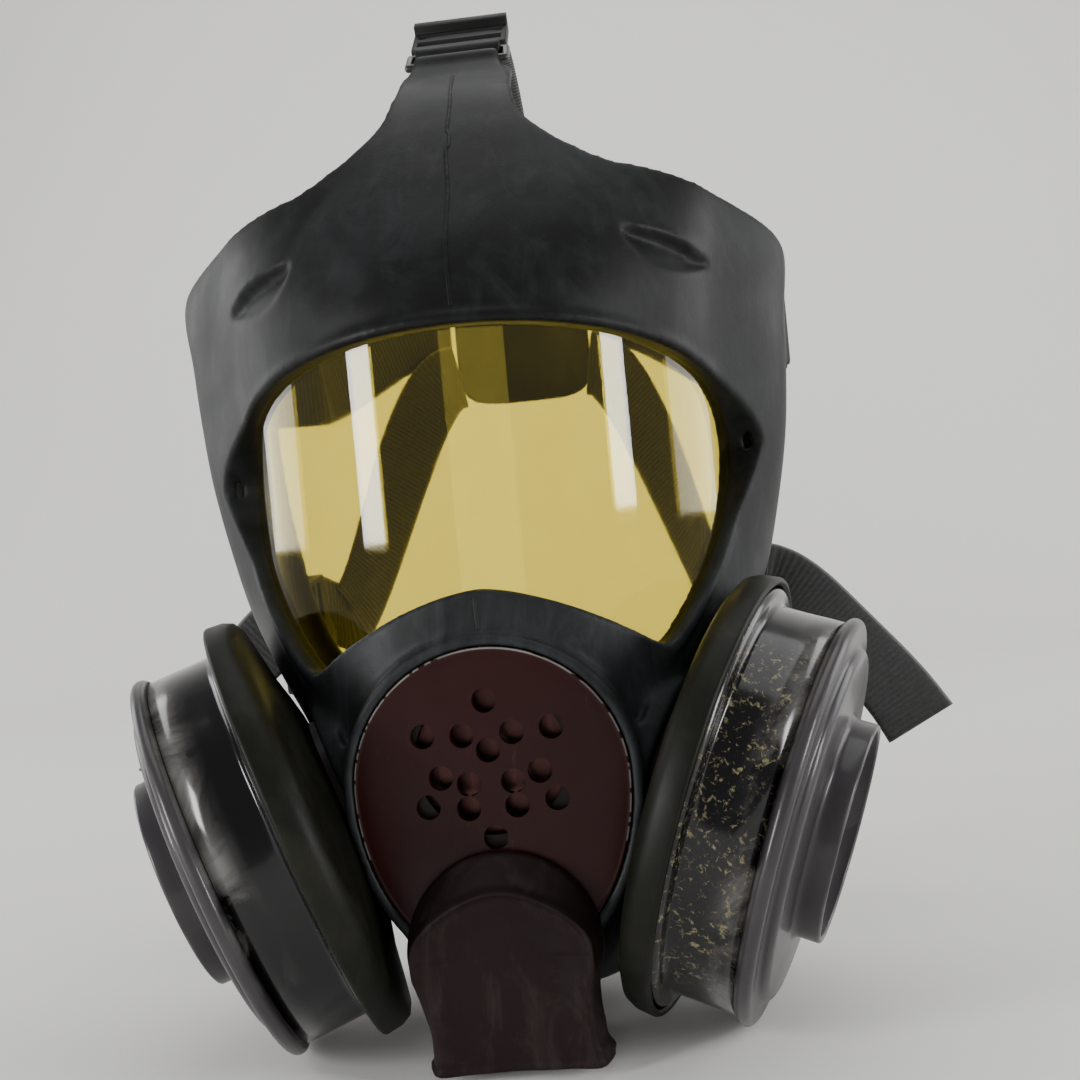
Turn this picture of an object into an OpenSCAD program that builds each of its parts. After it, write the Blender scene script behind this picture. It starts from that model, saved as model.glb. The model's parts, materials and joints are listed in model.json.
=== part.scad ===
// Full face respirator: rubber facepiece, panoramic lens, speech plate, two screw-in cartridges
// and a five-strap harness held in its worn shape. Millimetres, +Z up, the mask faces -Y.
// "left" and "right" are the wearer's: left is +X.

/* [Facepiece] */
// Wall thickness of the moulded rubber
rubber_t = 3.4; // [2.8:0.1:3.8]
// Depth of the two leaf-shaped finger pockets on the forehead
pocket_depth = 2.0; // [1:0.1:2.2]

/* [Lens] */
// Outer radius of the panoramic lens
lens_r = 71.3; // [71:0.1:71.6]
// Thickness of the lens
lens_t = 2.4; // [2:0.1:2.6]
// Half of the angle that the visible opening spans
lens_half_angle = 76; // [72:1:78]
// How far the lens runs into its groove
lens_bite = 5; // [4:0.5:5.5]

/* [Speech plate] */
// Half width of the egg-shaped plate
plate_half_w = 34.6; // [33:0.1:35]
// Height of the round upper half
plate_up = 34; // [32:0.5:35]
// Height of the tapering lower half
plate_down = 46; // [44:0.5:47]
// Diameter of each of the fifteen sound holes
sound_hole_d = 6.3; // [5:0.1:6.6]

/* [Cartridge] */
// Radius of the inner seam bead
inner_bead_r = 56; // [55:0.1:56.2]
// Radius of the painted band between the beads
band_r = 51.5; // [50:0.1:52]
// Radius of the outer seam bead
outer_bead_r = 53.3; // [53:0.1:54]
// Length from the inner bead to the outer bead
can_len = 24; // [22:0.5:25]
// Outer radius of the inlet collar
collar_r = 28.5; // [27:0.1:29]
// Angle of the cartridge axis below the horizontal
cart_drop = 19; // [17:0.5:20]
// Angle of the cartridge axis towards the front
cart_front = 15; // [14:0.5:17]
// Thread pitch of the cartridge neck
thread_pitch = 4; // [3:0.5:4]

/* [Harness] */
// Width of the elastic webbing
strap_w = 25; // [20:1:26]
// Thickness of the webbing
strap_t = 1.6; // [1.2:0.1:1.8]
// Radius of the bail wire
wire_r = 1.2; // [1:0.05:1.25]

/* [Hidden] */
$fn = 64;

run = 0.07;             // radial clearance of a pin in its bore
fit = 0.3;              // clearance of the rubber round a piece that is set into it
coarse = 28;            // facets of the rubber's own round shapes
RUBBER = "#2b2e2e";
PLASTIC = "#2c1715";
PAINT = "#101012";
WEB = "#1b1a1a";

// ---------------------------------------------------------------- facepiece surface
// Each station is [height, front y, half width, y of the widest point, squareness, flare behind
// the lens, rear y]. They run from the rear of the chin, forward and up to the end of the top tab.
lens_y = 46.8;          // axis of the lens and of the rubber around it
STATIONS = [
    [-117, 44, 16, 50, 1, 0, 58],
    [-122, 22, 24, 44, 0.9, 0, 58],
    [-121, 0, 31, 38, 0.8, 0, 58],
    [-113, -18, 30, 35, 0.7, 4, 59],
    [-100, -26, 34, 36, 0.6, 7, 60],
    [-84, -28.5, 39.5, 40, 0.55, 9, 62],
    [-66, -29, 45, 43, 0.55, 9, 64],
    [-50, -29.3, 49, 45, 0.6, 10, 66],
    [-34, -29, 60.5, 46.4, 0.78, 8, 68],
    [-16, -28.3, 70.5, 46.8, 0.95, 6.5, 70],
    [4, -27.7, 74.5, 46.8, 1, 8, 73],
    [24, -27.7, 74.5, 46.8, 1, 12, 76],
    [44, -27.7, 74.5, 46.8, 1, 14, 78],
    [60, -26.3, 75.5, 47, 1, 14, 80],
    [76, -20, 79, 48, 1, 12, 81],
    [90, -12, 80.5, 51, 1, 8, 81],
    [102, -4, 80, 57, 1, 4, 82],
    [114, 5, 78, 68, 1, 1, 90],
    [126, 17, 76, 84, 1, 0, 100],
    [139, 38, 75, 113, 1, 0, 125]
];
top_v = len(STATIONS) - 1;
front_span = 0.7;       // share of the half girth from the centre to the widest point
skirt_span = 0.12;      // share of the straight skirt behind it
seal_r = 9;             // radius of the turned-in face seal
seal_turn = 115;        // how far the seal turns in
edge_v = 16;            // station of the upper edge at the centre
edge_fall = 1.9;        // how far that edge falls, in stations, by the widest point
rear_fall = 0.55;       // and how far it falls again behind it
tab_v = 15.4;           // station where the top tab starts
TAB_HALF = [60, 36, 21.5, 17.3, 16.5];      // half widths of the tab at the last five stations

function spline(a, b, c, d, u) =
    0.5 * (2 * b + (c - a) * u + (2 * a - 5 * b + 4 * c - d) * u * u
           + (3 * b - a - 3 * c + d) * u * u * u);
function station(v) =
    let (i = min(floor(v), top_v - 1), u = v - i)
    spline(STATIONS[max(i - 1, 0)], STATIONS[i], STATIONS[i + 1], STATIONS[min(i + 2, top_v)], u);
function smooth(x) = let (c = min(max(x, 0), 1)) c * c * (3 - 2 * c);
function unit(a) = a / norm(a);

// Half section in plan: front arc, straight skirt, then the seal turning inwards.
function half_section(s, a) =
    let (wide = s[2] + s[5], r = min(seal_r, s[2] / 4), phi = 90 * min(a / front_span, 1),
         q = (a - front_span) / skirt_span,
         turn = seal_turn * (a - front_span - skirt_span) / (1 - front_span - skirt_span))
    a <= front_span
        ? [s[2] * pow(sin(phi), s[4]) + s[5] * smooth((phi - 58) / 32),
           s[1] + (s[3] - s[1]) * (1 - pow(cos(phi), s[4]))]
    : q <= 1 ? [wide, s[3] + (s[6] - r - s[3]) * q]
    : [wide - r * (1 - cos(turn)), s[6] - r + r * sin(turn)];
function face_point(t, v) =
    let (s = station(v), p = half_section(s, abs(t)))
    [sign(t) * p[0], p[1], s[0]];
function face_normal(t, v) =
    let (dt = 0.004, dv = 0.02,
         across = face_point(min(t + dt, 1), v) - face_point(max(t - dt, -1), v),
         up = face_point(t, min(v + dv, top_v)) - face_point(t, max(v - dv, 0)))
    unit(cross(across, up));

// A closed sheet between two grids of points, nu by nv cells.
function grid_faces(nu, nv) =
    let (m = nv + 1, n = (nu + 1) * m)
    concat(
        [for (i = [0:nu - 1], j = [0:nv - 1], h = [0, 1])
            let (a = i * m + j, b = a + m, c = b + 1, d = a + 1) h == 0 ? [a, d, c] : [a, c, b]],
        [for (i = [0:nu - 1], j = [0:nv - 1], h = [0, 1])
            let (a = n + i * m + j, b = a + m, c = b + 1, d = a + 1)
            h == 0 ? [a, c, d] : [a, b, c]],
        [for (i = [0:nu - 1], e = [0, nv], h = [0, 1])
            let (a = i * m + e, b = a + m, c = b + n, d = a + n, f = e == 0)
            h == 0 ? (f ? [a, b, c] : [a, c, b]) : (f ? [a, c, d] : [a, d, c])],
        [for (j = [0:nv - 1], e = [0, nu], h = [0, 1])
            let (a = e * m + j, b = a + 1, c = b + n, d = a + n, f = e == 0)
            h == 0 ? (f ? [a, c, b] : [a, b, c]) : (f ? [a, d, c] : [a, c, d])]);
module sheet(grid, nu, nv, t, sunk = 0) {
    outer = [for (i = [0:nu], j = [0:nv])
        face_point(grid[i][j][0], grid[i][j][1])
        - sunk * face_normal(grid[i][j][0], grid[i][j][1])];
    inner = [for (i = [0:nu], j = [0:nv])
        face_point(grid[i][j][0], grid[i][j][1])
        - t * face_normal(grid[i][j][0], grid[i][j][1])];
    polyhedron(concat(outer, inner), grid_faces(nu, nv));
}

// A closed bar through rings of m points each.
function bar_faces(n, m) =
    concat(
        [for (j = [1:m - 2]) [0, j, j + 1]],
        [for (i = [0:n - 2], j = [0:m - 1], h = [0, 1])
            let (a = i * m + j, b = i * m + (j + 1) % m, c = b + m, d = a + m)
            h == 0 ? [a, c, b] : [a, d, c]],
        [for (j = [1:m - 2]) let (k = (n - 1) * m) [k, k + j + 1, k + j]]);
module bar(rings)
    polyhedron([for (r = rings) for (p = r) p], bar_faces(len(rings), len(rings[0])));

pocket_at = [0.36, 13.75];          // place of a finger pocket on the skin, across and up
pocket_size = [13, 4, 6];           // half axes of the ellipsoid that presses it

// Upper and lower edge of the lens opening, grown by g all round, at an angle round the lens.
lens_mid_z = 20;
lens_top_rise = 34;
lens_corner_angle = 39;
lens_bridge_z = -12.3;
function edge_top(th, g) =
    lens_mid_z
    + (lens_top_rise + g) * pow(max(1 - pow(th / (lens_half_angle + 0.8 * g), 2), 0), 0.6);
function edge_low(th, g) =
    let (a = abs(th), far = lens_half_angle + 0.8 * g,
         arch = lens_bridge_z - g - 21 * pow(a / lens_corner_angle, 1.6),
         side = lens_mid_z - (53.3 + 1.3 * g)
                * pow(max(1 - (a - lens_corner_angle) / (far - lens_corner_angle), 0), 0.8))
    min((arch + side + sqrt(pow(arch - side, 2) + 25)) / 2, edge_top(th, g) - 0.02);
function on_lens(r, th, z) = [r * sin(th), lens_y - r * cos(th), z];
module lens_band(r1, r2, g, n) {
    far = lens_half_angle + 0.8 * g - 0.01;
    bar([for (i = [0:n])
        let (th = far * sin(90 * (2 * i / n - 1)), lo = edge_low(th, g), hi = edge_top(th, g))
        [on_lens(r1, th, lo), on_lens(r1, th, hi), on_lens(r2, th, hi), on_lens(r2, th, lo)]]);
}

// Egg outline of the speech plate, grown by g, and its extrusion along Y.
plate_mid_z = -60;
function egg(g) =
    [for (i = [0:39]) let (a = 9 * i)
        [(plate_half_w + g) * cos(a),
         plate_mid_z + ((sin(a) > 0 ? plate_up : plate_down) + g) * sin(a)]];
module egg_slab(g, y0, y1) translate([0, y1, 0]) rotate([90, 0, 0])
    linear_extrude(y1 - y0) polygon(egg(g));
module along_y(z, r, y0, y1) translate([0, y0, z]) rotate([-90, 0, 0]) cylinder(r = r, h = y1 - y0);

plate_front = -31;      // front face of the speech plate
plate_t = 2.4;
plate_flange = 1.3;     // rim of the housing behind the plate, held in a groove of the rubber
flange_y = -26;         // front of that rim
flange_t = 2;
speech_z = -54;         // centre of the speech diaphragm
exhale_z = -93;         // centre of the exhalation valve
film_y = -25;           // front of the diaphragm film
diaphragm_r = 22;
film_ledge = 3;         // width of the ledge that the film rests on
exhale_r = 10;          // clear radius of the exhalation port

// ---------------------------------------------------------------- cartridge axis
// Centre of the inner seam bead; the axis runs outwards, downwards and a little to the front.
bead_at = [55.5, -3, -71.5];
module on_left() translate(bead_at) rotate([0, 90 + cart_drop, -cart_front]) children();
module on_right() mirror([1, 0, 0]) on_left() children();
module ring(r1, r2, z0, z1) translate([0, 0, z0]) difference() {
    cylinder(r = r2, h = z1 - z0);
    translate([0, 0, -1]) cylinder(r = r1, h = z1 - z0 + 2);
}

port_r = 14.5;          // bore of the inlet port
port_in = -18;          // inner end of the port along the axis
port_out = -7;          // outer end, under the gasket
port_wall = 3;
seat_s = -14;           // flat seat of the port on the rubber cheek
boss_r = 26;            // radius of the thickened cheek round the port
dish_room = 8.5;        // depth of the hollow that takes the holder's dish

// ---------------------------------------------------------------- harness anchors
// Each anchor is [place of the bail's buckle wire, heading of the strap, outward normal].
TOP_ANCHOR = [[0, 47, 146.5], [0, 0.8, 0.6], [0, -0.6, 0.8]];
TEMPLE_ANCHOR = [[90.6, 94, 60], [-0.03, 1, 0], [1, 0.03, 0]];
CHEEK_ANCHOR = [[74.2, 84, -24], [-0.04, 0.98, 0.16], [1, 0.04, 0]];
bail_reach = 8;         // from the hem wire to the buckle wire
bail_half = 14.5;       // half the width between the legs
hem_r = 3.2;            // radius of the rubber hem round the wire
buckle_l = 22;          // from the wire to the buckle's end
buckle_half = 14.5;     // half the width of the buckle's frame
buckle_t = 3.6;

// Local frame of an anchor: X across the strap, Y along it, Z outwards.
module at_anchor(a) {
    y = unit(a[1]);
    z = unit(a[2] - (a[2] * y) * y);
    x = cross(y, z);
    multmatrix([for (i = [0:2]) [x[i], y[i], z[i], a[0][i]]])
        children();
}

// The one rubber moulding is drawn as three solids that meet face to face at two heights.
forehead_z = 76;
chin_z = -43;
room = 400;             // side of a block that is larger than the whole mask
module facepiece_part(low, high) color(RUBBER) resize([0, 0, 0]) intersection() {
    facepiece_rubber();
    translate([-room / 2, -room / 2, low]) cube([room, room, high - low]);
}
module facepiece_rubber() difference() {
    union() {
        main_sheet();
        tab_sheet();
        lens_band(lens_r - lens_t - 2.2, lens_r + 0.6, 9, 22);
        egg_slab(2.8, plate_front - 0.4, -19);
        cheek_boss(1);
        cheek_boss(-1);
        hem(TOP_ANCHOR);
        for (side = [1, -1]) scale([side, 1, 1]) {
            hem(TEMPLE_ANCHOR);
            hem(CHEEK_ANCHOR);
        }
    }
    lens_band(55, 95, 0, 26);
    lens_band(lens_r - lens_t - 0.15, lens_r + 0.15, lens_bite + 0.3, 26);
    egg_slab(0.05, -45, -10);
    egg_slab(plate_flange + fit, flange_y - 0.2, flange_y + flange_t + 0.2);
    for (side = [1, -1]) scale([side, 1, 1]) {
        on_left() inlet_cut();
        pocket();
    }
}
// Room in the rubber for the inlet port, its inner flange, its seat and the holder's dish.
module inlet_cut() {
    far = 45;
    translate([0, 0, -far]) cylinder(r = port_r + port_wall + fit, h = far + 15, $fn = coarse);
    translate([0, 0, -far]) cylinder(r = boss_r - 5, h = far + port_in + 0.7, $fn = coarse);
    translate([0, 0, seat_s]) cylinder(r = boss_r + 4, h = 20, $fn = coarse);
    translate([0, 0, seat_s + 1.8])
        cylinder(r1 = boss_r + 2, r2 = inner_bead_r + 6, h = dish_room, $fn = coarse);
}
module main_sheet() {
    nu = 28;
    nv = 15;
    grid = [for (i = [0:nu]) let (t = 2 * i / nu - 1, a = abs(t),
            top = edge_v - edge_fall * pow(min(a / front_span, 1), 1.8)
                  - rear_fall * smooth((a - 0.6) / 0.4))
        [for (j = [0:nv]) [t, top * j / nv]]];
    sheet(grid, nu, nv, rubber_t);
}
module tab_sheet() {
    nu = 8;
    nv = 8;
    grid = [for (i = [0:nu]) let (c = 2 * i / nu - 1)
        [for (j = [0:nv])
            let (v = tab_v + (top_v - tab_v) * j / nv, k = min(floor(v) - 15, 3), u = v - 15 - k,
                 w = spline(TAB_HALF[max(k - 1, 0)], TAB_HALF[k], TAB_HALF[k + 1],
                            TAB_HALF[min(k + 2, 4)], u),
                 s = station(v))
            [front_span / 90 * asin(c * w / s[2]), v]]];
    sheet(grid, nu, nv, rubber_t - 0.5, 0.4);
}
module cheek_boss(side) scale([side, 1, 1]) on_left()
    translate([0, 0, port_in - 1]) cylinder(r = boss_r + 2, h = 6, $fn = coarse);
// Rubber ear with a round hem, through which one side of a bail runs.
module hem(a) at_anchor(a) translate([0, -bail_reach, 0]) difference() {
    hull() {
        rotate([0, 90, 0]) cylinder(r = hem_r, h = strap_w, center = true, $fn = coarse / 2);
        translate([0, -15, -1.6]) cube([strap_w + 5, 1, 3], center = true);
    }
    rotate([0, 90, 0]) cylinder(r = wire_r + run, h = 40, center = true, $fn = coarse / 2);
}
// Leaf-shaped finger pocket pressed into the forehead.
module pocket() {
    at = face_point(pocket_at[0], pocket_at[1]);
    n = face_normal(pocket_at[0], pocket_at[1]);
    translate(at + n * (pocket_size[1] - pocket_depth)) rotate([0, 24, 40])
        scale(pocket_size) sphere(1, $fn = coarse / 2);
}
module lens() color([0.86, 0.68, 0.12, 0.45]) lens_band(lens_r - lens_t, lens_r, lens_bite, 26);

// ---------------------------------------------------------------- speech and exhalation group
module front_housing() color(PLASTIC) difference() {
    union() {
        egg_slab(-fit, plate_front + plate_t + 0.2, -18);
        egg_slab(plate_flange, flange_y, flange_y + flange_t);
    }
    along_y(speech_z, diaphragm_r - film_ledge, -40, 0);
    along_y(speech_z, diaphragm_r + 1.5, film_y - 0.2, 0);
    along_y(exhale_z, exhale_r + 1.7, -40, 0);
}
// Sound holes: one at the top, rows of four, two, two and four round the centre hole, one below.
SOUND_HOLES = concat([[0, -39.3], [0, -51.5], [0, -73]],
    [for (s = [1, -1], h = [[16, -47], [6.2, -47.5], [12.3, -57.5], [5.5, -59.5], [16, -64.5],
        [6, -65.5]]) [s * h[0], h[1]]]);
module speech_plate() color(PLASTIC) difference() {
    union() {
        egg_slab(-0.25, plate_front + 0.8, plate_front + plate_t);
        egg_slab(-1.4, plate_front, plate_front + 1);
    }
    for (h = SOUND_HOLES) translate([h[0], 0, 0]) along_y(h[1], sound_hole_d / 2, -40, 0);
    along_y(exhale_z, exhale_r + 1.7, -40, 0);
}
module speech_diaphragm() color("silver") along_y(speech_z, diaphragm_r, film_y, film_y + 0.3);
module round_ring(z, r1, r2, y0, y1) difference() {
    along_y(z, r2, y0, y1);
    along_y(z, r1, y0 - 1, y1 + 1);
}
module diaphragm_gasket() color("#202020")
    round_ring(speech_z, diaphragm_r - film_ledge, diaphragm_r, film_y + 0.4, film_y + 1.9);
module diaphragm_ring() color(PLASTIC) difference() {
    round_ring(speech_z, 17, diaphragm_r + 1.4, film_y + 2, film_y + 6.8);
    for (a = [0, 180]) translate([0, 0, speech_z]) rotate([0, a, 0])
        translate([15, film_y + 5, -2.5]) cube([6, 4, 5]);
}
hub_r = 3.2;            // boss that a valve's stem runs in
stem_r = 1.5;
stem_l = 5.2;           // length of the stem below the disc
knob_l = 2.2;           // swelling at the stem's end that keeps the valve in its hub
disc_t = 0.9;
// Spokes and a bored hub across a round port, lying flat on the local XY plane.
module spider(r, h) {
    ring(stem_r + run, hub_r, 0, h);
    for (a = [0:60:300]) rotate([0, 0, a])
        translate([hub_r - 0.4, -0.7, 0]) cube([r - hub_r + 0.9, 1.4, h]);
}
// Rubber disc valve with its stem, lifting towards +Z off a seat whose face is at z = 0.
module disc_valve(r) {
    cylinder(r = r, h = disc_t);
    translate([0, 0, -stem_l]) cylinder(r = stem_r, h = stem_l + disc_t / 2);
    translate([0, 0, -stem_l - knob_l]) cylinder(r = stem_r + 0.9, h = knob_l);
}
exhale_y = -34.5;       // face that the exhalation valve closes on
exhale_tube = 16;       // length of the exhalation port behind that face
exhale_lip = 3.3;       // length of the port that stands in front of the plate
spider_t = 2.6;
module at_exhale() translate([0, exhale_y, exhale_z]) rotate([90, 0, 0]) children();
module exhalation_seat() color(PLASTIC) at_exhale() {
    difference() {
        union() {
            translate([0, 0, -exhale_tube]) cylinder(r = exhale_r + 1.5, h = exhale_tube - 3);
            translate([0, 0, -exhale_lip]) cylinder(r = exhale_r + 2.6, h = 2.2);
            translate([0, 0, -1.2]) cylinder(r = exhale_r + 2, h = 1.2);
        }
        translate([0, 0, -exhale_tube - 1]) cylinder(r = exhale_r, h = exhale_tube + 2);
    }
    translate([0, 0, -spider_t - 0.2]) spider(exhale_r, spider_t);
}
module exhalation_valve() color("#3a3a38") at_exhale() translate([0, 0, 0.05]) disc_valve(exhale_r + 1.5);
hood_z = -100;          // centre of the hood's round top
hood_front = -45;
hood_end_z = -126;
hood_t = 2.2;
hood_mouth = [21.8, -42.4, 10];     // half width, front and depth of the open mouth
// One rubber skin of the hood, i inside the outer one: a round top that leans into a flat mouth.
module hood_shape(i, back, below) hull() {
    along_y(hood_z, 24 - i, back - 2, back);
    along_y(hood_z - 1, 20.5 - i, hood_front + i, hood_front + i + 1);
    translate([i - hood_mouth[0], hood_mouth[1] + i, hood_end_z - below])
        cube([2 * (hood_mouth[0] - i), hood_mouth[2] - 2 * i, 1]);
}
module exhalation_hood() color("#2c2220") difference() {
    hood_shape(0, plate_front - 0.8, 0);
    hood_shape(hood_t, plate_front - 0.2, 2);
}

// ---------------------------------------------------------------- inlet group, local axis
module inlet_port() color(PLASTIC) {
    ring(port_r, port_r + port_wall, port_in, port_out);
    ring(port_r, boss_r - 6.5, port_in - 1.6, port_in + 0.6);
    ring(port_r, boss_r - 2, -13.8, -12);
    translate([0, 0, port_in - 1.2]) spider(port_r, 2.4);
}
module inhalation_valve() color("#3a3a38") translate([0, 0, port_in - 1.7]) mirror([0, 0, 1])
    disc_valve(port_r - 1.2);
module cartridge_holder() color("#23241c") rotate_extrude()
    polygon([[18, -11.8], [27, -11.8], [40, -8.8], [54.6, -6.6], [57.8, -4.3], [58.6, 0], [58.2, 2.6],
        [56.5, 2.6], [56.6, -1], [55, -4.2], [52, -5.6], [38, -7.2], [30, -8.6], [18, -9.2]]);
neck_r = port_r - run;  // threaded neck of the cartridge, drawn as a plain running fit
can_wall = 0.9;
module cartridge_gasket() color("#202020") ring(port_r + 0.8, 22, port_out + 0.1, port_out + 2);
collar_base = port_out + 2.1;
module cartridge_body() color(PAINT) {
    rotate_extrude() polygon([[12.4, -15], [neck_r, -15], [neck_r, collar_base], [22, collar_base],
        [22, -2.4], [48, -1], [inner_bead_r - 1.2, -0.6], [inner_bead_r, 0.6], [inner_bead_r, 2.2],
        [inner_bead_r - 1.2, 3.4], [band_r + 0.4, 3.8], [band_r, 5], [band_r, can_len - 3.2],
        [band_r - can_wall, can_len - 3.2], [band_r - can_wall, 1], [14, 0], [12.4, -1]]);
}
// The lid: seam bead, shallow dome, and the cylindrical inlet collar.
lid_top = can_len + 4.5;
module cartridge_lid() color(PAINT) difference() {
    union() {
        rotate_extrude() polygon([[band_r + 0.05, can_len - 3], [outer_bead_r, can_len - 2.4],
            [outer_bead_r, can_len + 1], [outer_bead_r - 1.4, can_len + 2.2], [45, can_len + 3.4],
            [36, lid_top], [26, lid_top], [26, lid_top - 1], [36, lid_top - 1],
            [45, can_len + 2.4], [50, can_len + 1], [band_r + 0.05, can_len - 1]]);
        ring(collar_r - 1.5, collar_r, lid_top - 0.5, lid_top + 7);
    }
    translate([0, 0, can_len]) cylinder(r = 26, h = 5);
}
module inlet_screen() color("#2a2a2c") {
    translate([0, 0, lid_top + 0.1]) cylinder(r = collar_r - 1.6, h = 0.8);
    for (i = [-8:8]) let (x = i * 3, w = sqrt(pow(collar_r - 1.8, 2) - pow(abs(x) + 0.7, 2)))
        translate([x - 0.7, -w, lid_top + 0.8]) cube([1.4, 2 * w, 1]);
}
fill_r = band_r - 1.2;  // radius of what the can holds
module particulate_pad() color("#d8d4c8") translate([0, 0, 15.6]) cylinder(r = fill_r, h = 5);
module sorbent_bed() color("#1a1a1a") translate([0, 0, 3]) cylinder(r = fill_r, h = 12.4);
module bed_retainer() color("silver") difference() {
    translate([0, 0, 1.6]) cylinder(r = fill_r, h = 1.2);
    for (k = [1:3], i = [0:6 * k - 1]) rotate([0, 0, 60 * i / k])
        translate([12 * k, 0, 0]) cylinder(r = 2.5, h = 5);
}

// ---------------------------------------------------------------- harness
// The bail is one wire rectangle: one side runs in the rubber hem, the opposite one in the buckle.
module bail(a) color("#161616") at_anchor(a) {
    for (y = [0, -bail_reach]) translate([-bail_half, y, 0]) rotate([0, 90, 0])
        cylinder(r = wire_r, h = 2 * bail_half);
    for (x = [-bail_half, bail_half]) {
        translate([x, -bail_reach, 0]) rotate([-90, 0, 0]) cylinder(r = wire_r, h = bail_reach);
        for (y = [0, -bail_reach]) translate([x, y, 0]) sphere(wire_r);
    }
}
// Buckle: a sleeve round the bail wire, a frame with two slots, and a raised thumb bar.
module buckle(a) color("#161616") at_anchor(a) difference() {
    union() {
        rotate([0, 90, 0]) cylinder(r = 2.9, h = 25.5, center = true);
        translate([-buckle_half, 3.1, -buckle_t / 2]) cube([2 * buckle_half, buckle_l - 3.1, buckle_t]);
        translate([-12.75, 1, -buckle_t / 2]) cube([25.5, 3, buckle_t]);
        translate([-buckle_half, buckle_l - 4, -buckle_t / 2]) cube([2 * buckle_half, 4, buckle_t + 2.4]);
    }
    rotate([0, 90, 0]) cylinder(r = wire_r + run, h = 40, center = true);
    for (y = [6, 13]) translate([-12.9, y, -5]) cube([25.8, 4, 12]);
}
// A flat band through stations [point, outward direction], its width across both.
module webbing(path, normals, w, t) {
    n = len(path) - 1;
    bar([for (i = [0:n])
        let (d = unit(path[min(i + 1, n)] - path[max(i - 1, 0)]),
             s = unit(cross(d, normals[i])), o = unit(cross(s, d)), p = path[i])
        [p - s * w / 2 - o * t / 2, p - s * w / 2 + o * t / 2,
         p + s * w / 2 + o * t / 2, p + s * w / 2 - o * t / 2]]);
}
head_mid = [0, 88, 60];
head_size = [80, 97, 101];
function on_head(p) = [for (i = [0:2]) head_mid[i] + head_size[i] * p[i]];
function out_of_head(p) = unit([for (i = [0:2]) (p[i] - head_mid[i]) / pow(head_size[i], 2)]);
pad_half = [27, 24];    // half width and half height of the crown pad
pad_t = 3;
pad_z = 78;
strap_from = buckle_l + 2.5;        // where a strap's free run starts, from the wire
function anchor_end(a, l) = a[0] + unit(a[1]) * l;
top_path = concat([for (l = [strap_from, strap_from + 6]) anchor_end(TOP_ANCHOR, l)],
    [for (i = [0:14]) let (b = 94 - 67 * i / 14) on_head([0, cos(b), sin(b)])]);
temple_path = concat([for (l = [strap_from, strap_from + 5]) anchor_end(TEMPLE_ANCHOR, l)],
    [for (i = [1:14]) let (b = 24 + 46 * i / 14)
        [84 * cos(b), head_mid[1] + 99.5 * sin(b), 60 + 26 * smooth(i / 14)]]);
cheek_path = concat([for (l = [strap_from, strap_from + 5]) anchor_end(CHEEK_ANCHOR, l)],
    [for (i = [1:14]) let (b = 22 + 47.5 * i / 14)
        [75 * cos(b), head_mid[1] + 97 * sin(b) - 7 * (1 - i / 14), -24 + 90 * smooth(i / 14)]]);
// Loose end of a cheek strap, past its buckle: it turns out sideways and droops.
tail_path = [[81, 99, -22], [87, 98, -25], [94, 96, -31], [103, 93, -41], [112, 89, -52],
    [119, 86, -62], [124, 83, -71]];
module strap(path) color(WEB) webbing(path,
    [for (p = path) out_of_head([p[0], p[1], max(p[2], head_mid[2] - 20)])], strap_w, strap_t);
module cheek_tail() color(WEB)
    webbing(tail_path, [for (p = tail_path) [0.15, -1, 0]], strap_w, strap_t);
module crown_pad() color("#232524") webbing(
    [for (i = [0:10]) let (x = pad_half[0] * (i / 5 - 1))
        [x, head_mid[1] + 98.4 * cos(asin(x / 84)), pad_z]],
    [for (i = [0:10]) [(i / 5 - 1) * 0.3, 1, 0.1]], 2 * pad_half[1], pad_t);

facepiece_part(chin_z, forehead_z);  // facepiece
facepiece_part(forehead_z, room);  // facepiece_forehead
facepiece_part(-room, chin_z);  // facepiece_chin
lens();
front_housing();
speech_plate();
speech_diaphragm();
diaphragm_gasket();
diaphragm_ring();
exhalation_seat();
exhalation_valve();
exhalation_hood();
on_left() inlet_port();  // left_inlet_port
on_right() inlet_port();  // right_inlet_port
on_left() inhalation_valve();  // left_inhalation_valve
on_right() inhalation_valve();  // right_inhalation_valve
on_left() cartridge_holder();  // left_cartridge_holder
on_right() cartridge_holder();  // right_cartridge_holder
on_left() cartridge_gasket();  // left_cartridge_gasket
on_right() cartridge_gasket();  // right_cartridge_gasket
on_left() cartridge_body();  // left_cartridge_body
on_right() cartridge_body();  // right_cartridge_body
on_left() cartridge_lid();  // left_cartridge_lid
on_right() cartridge_lid();  // right_cartridge_lid
on_left() inlet_screen();  // left_inlet_screen
on_right() inlet_screen();  // right_inlet_screen
on_left() particulate_pad();  // left_particulate_pad
on_right() particulate_pad();  // right_particulate_pad
on_left() sorbent_bed();  // left_sorbent_bed
on_right() sorbent_bed();  // right_sorbent_bed
on_left() bed_retainer();  // left_bed_retainer
on_right() bed_retainer();  // right_bed_retainer
bail(TOP_ANCHOR);  // top_bail
bail(TEMPLE_ANCHOR);  // left_temple_bail
mirror([1, 0, 0]) bail(TEMPLE_ANCHOR);  // right_temple_bail
bail(CHEEK_ANCHOR);  // left_cheek_bail
mirror([1, 0, 0]) bail(CHEEK_ANCHOR);  // right_cheek_bail
buckle(TOP_ANCHOR);  // top_buckle
buckle(TEMPLE_ANCHOR);  // left_temple_buckle
mirror([1, 0, 0]) buckle(TEMPLE_ANCHOR);  // right_temple_buckle
buckle(CHEEK_ANCHOR);  // left_cheek_buckle
mirror([1, 0, 0]) buckle(CHEEK_ANCHOR);  // right_cheek_buckle
strap(top_path);  // top_strap
strap(temple_path);  // left_temple_strap
mirror([1, 0, 0]) strap(temple_path);  // right_temple_strap
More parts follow.
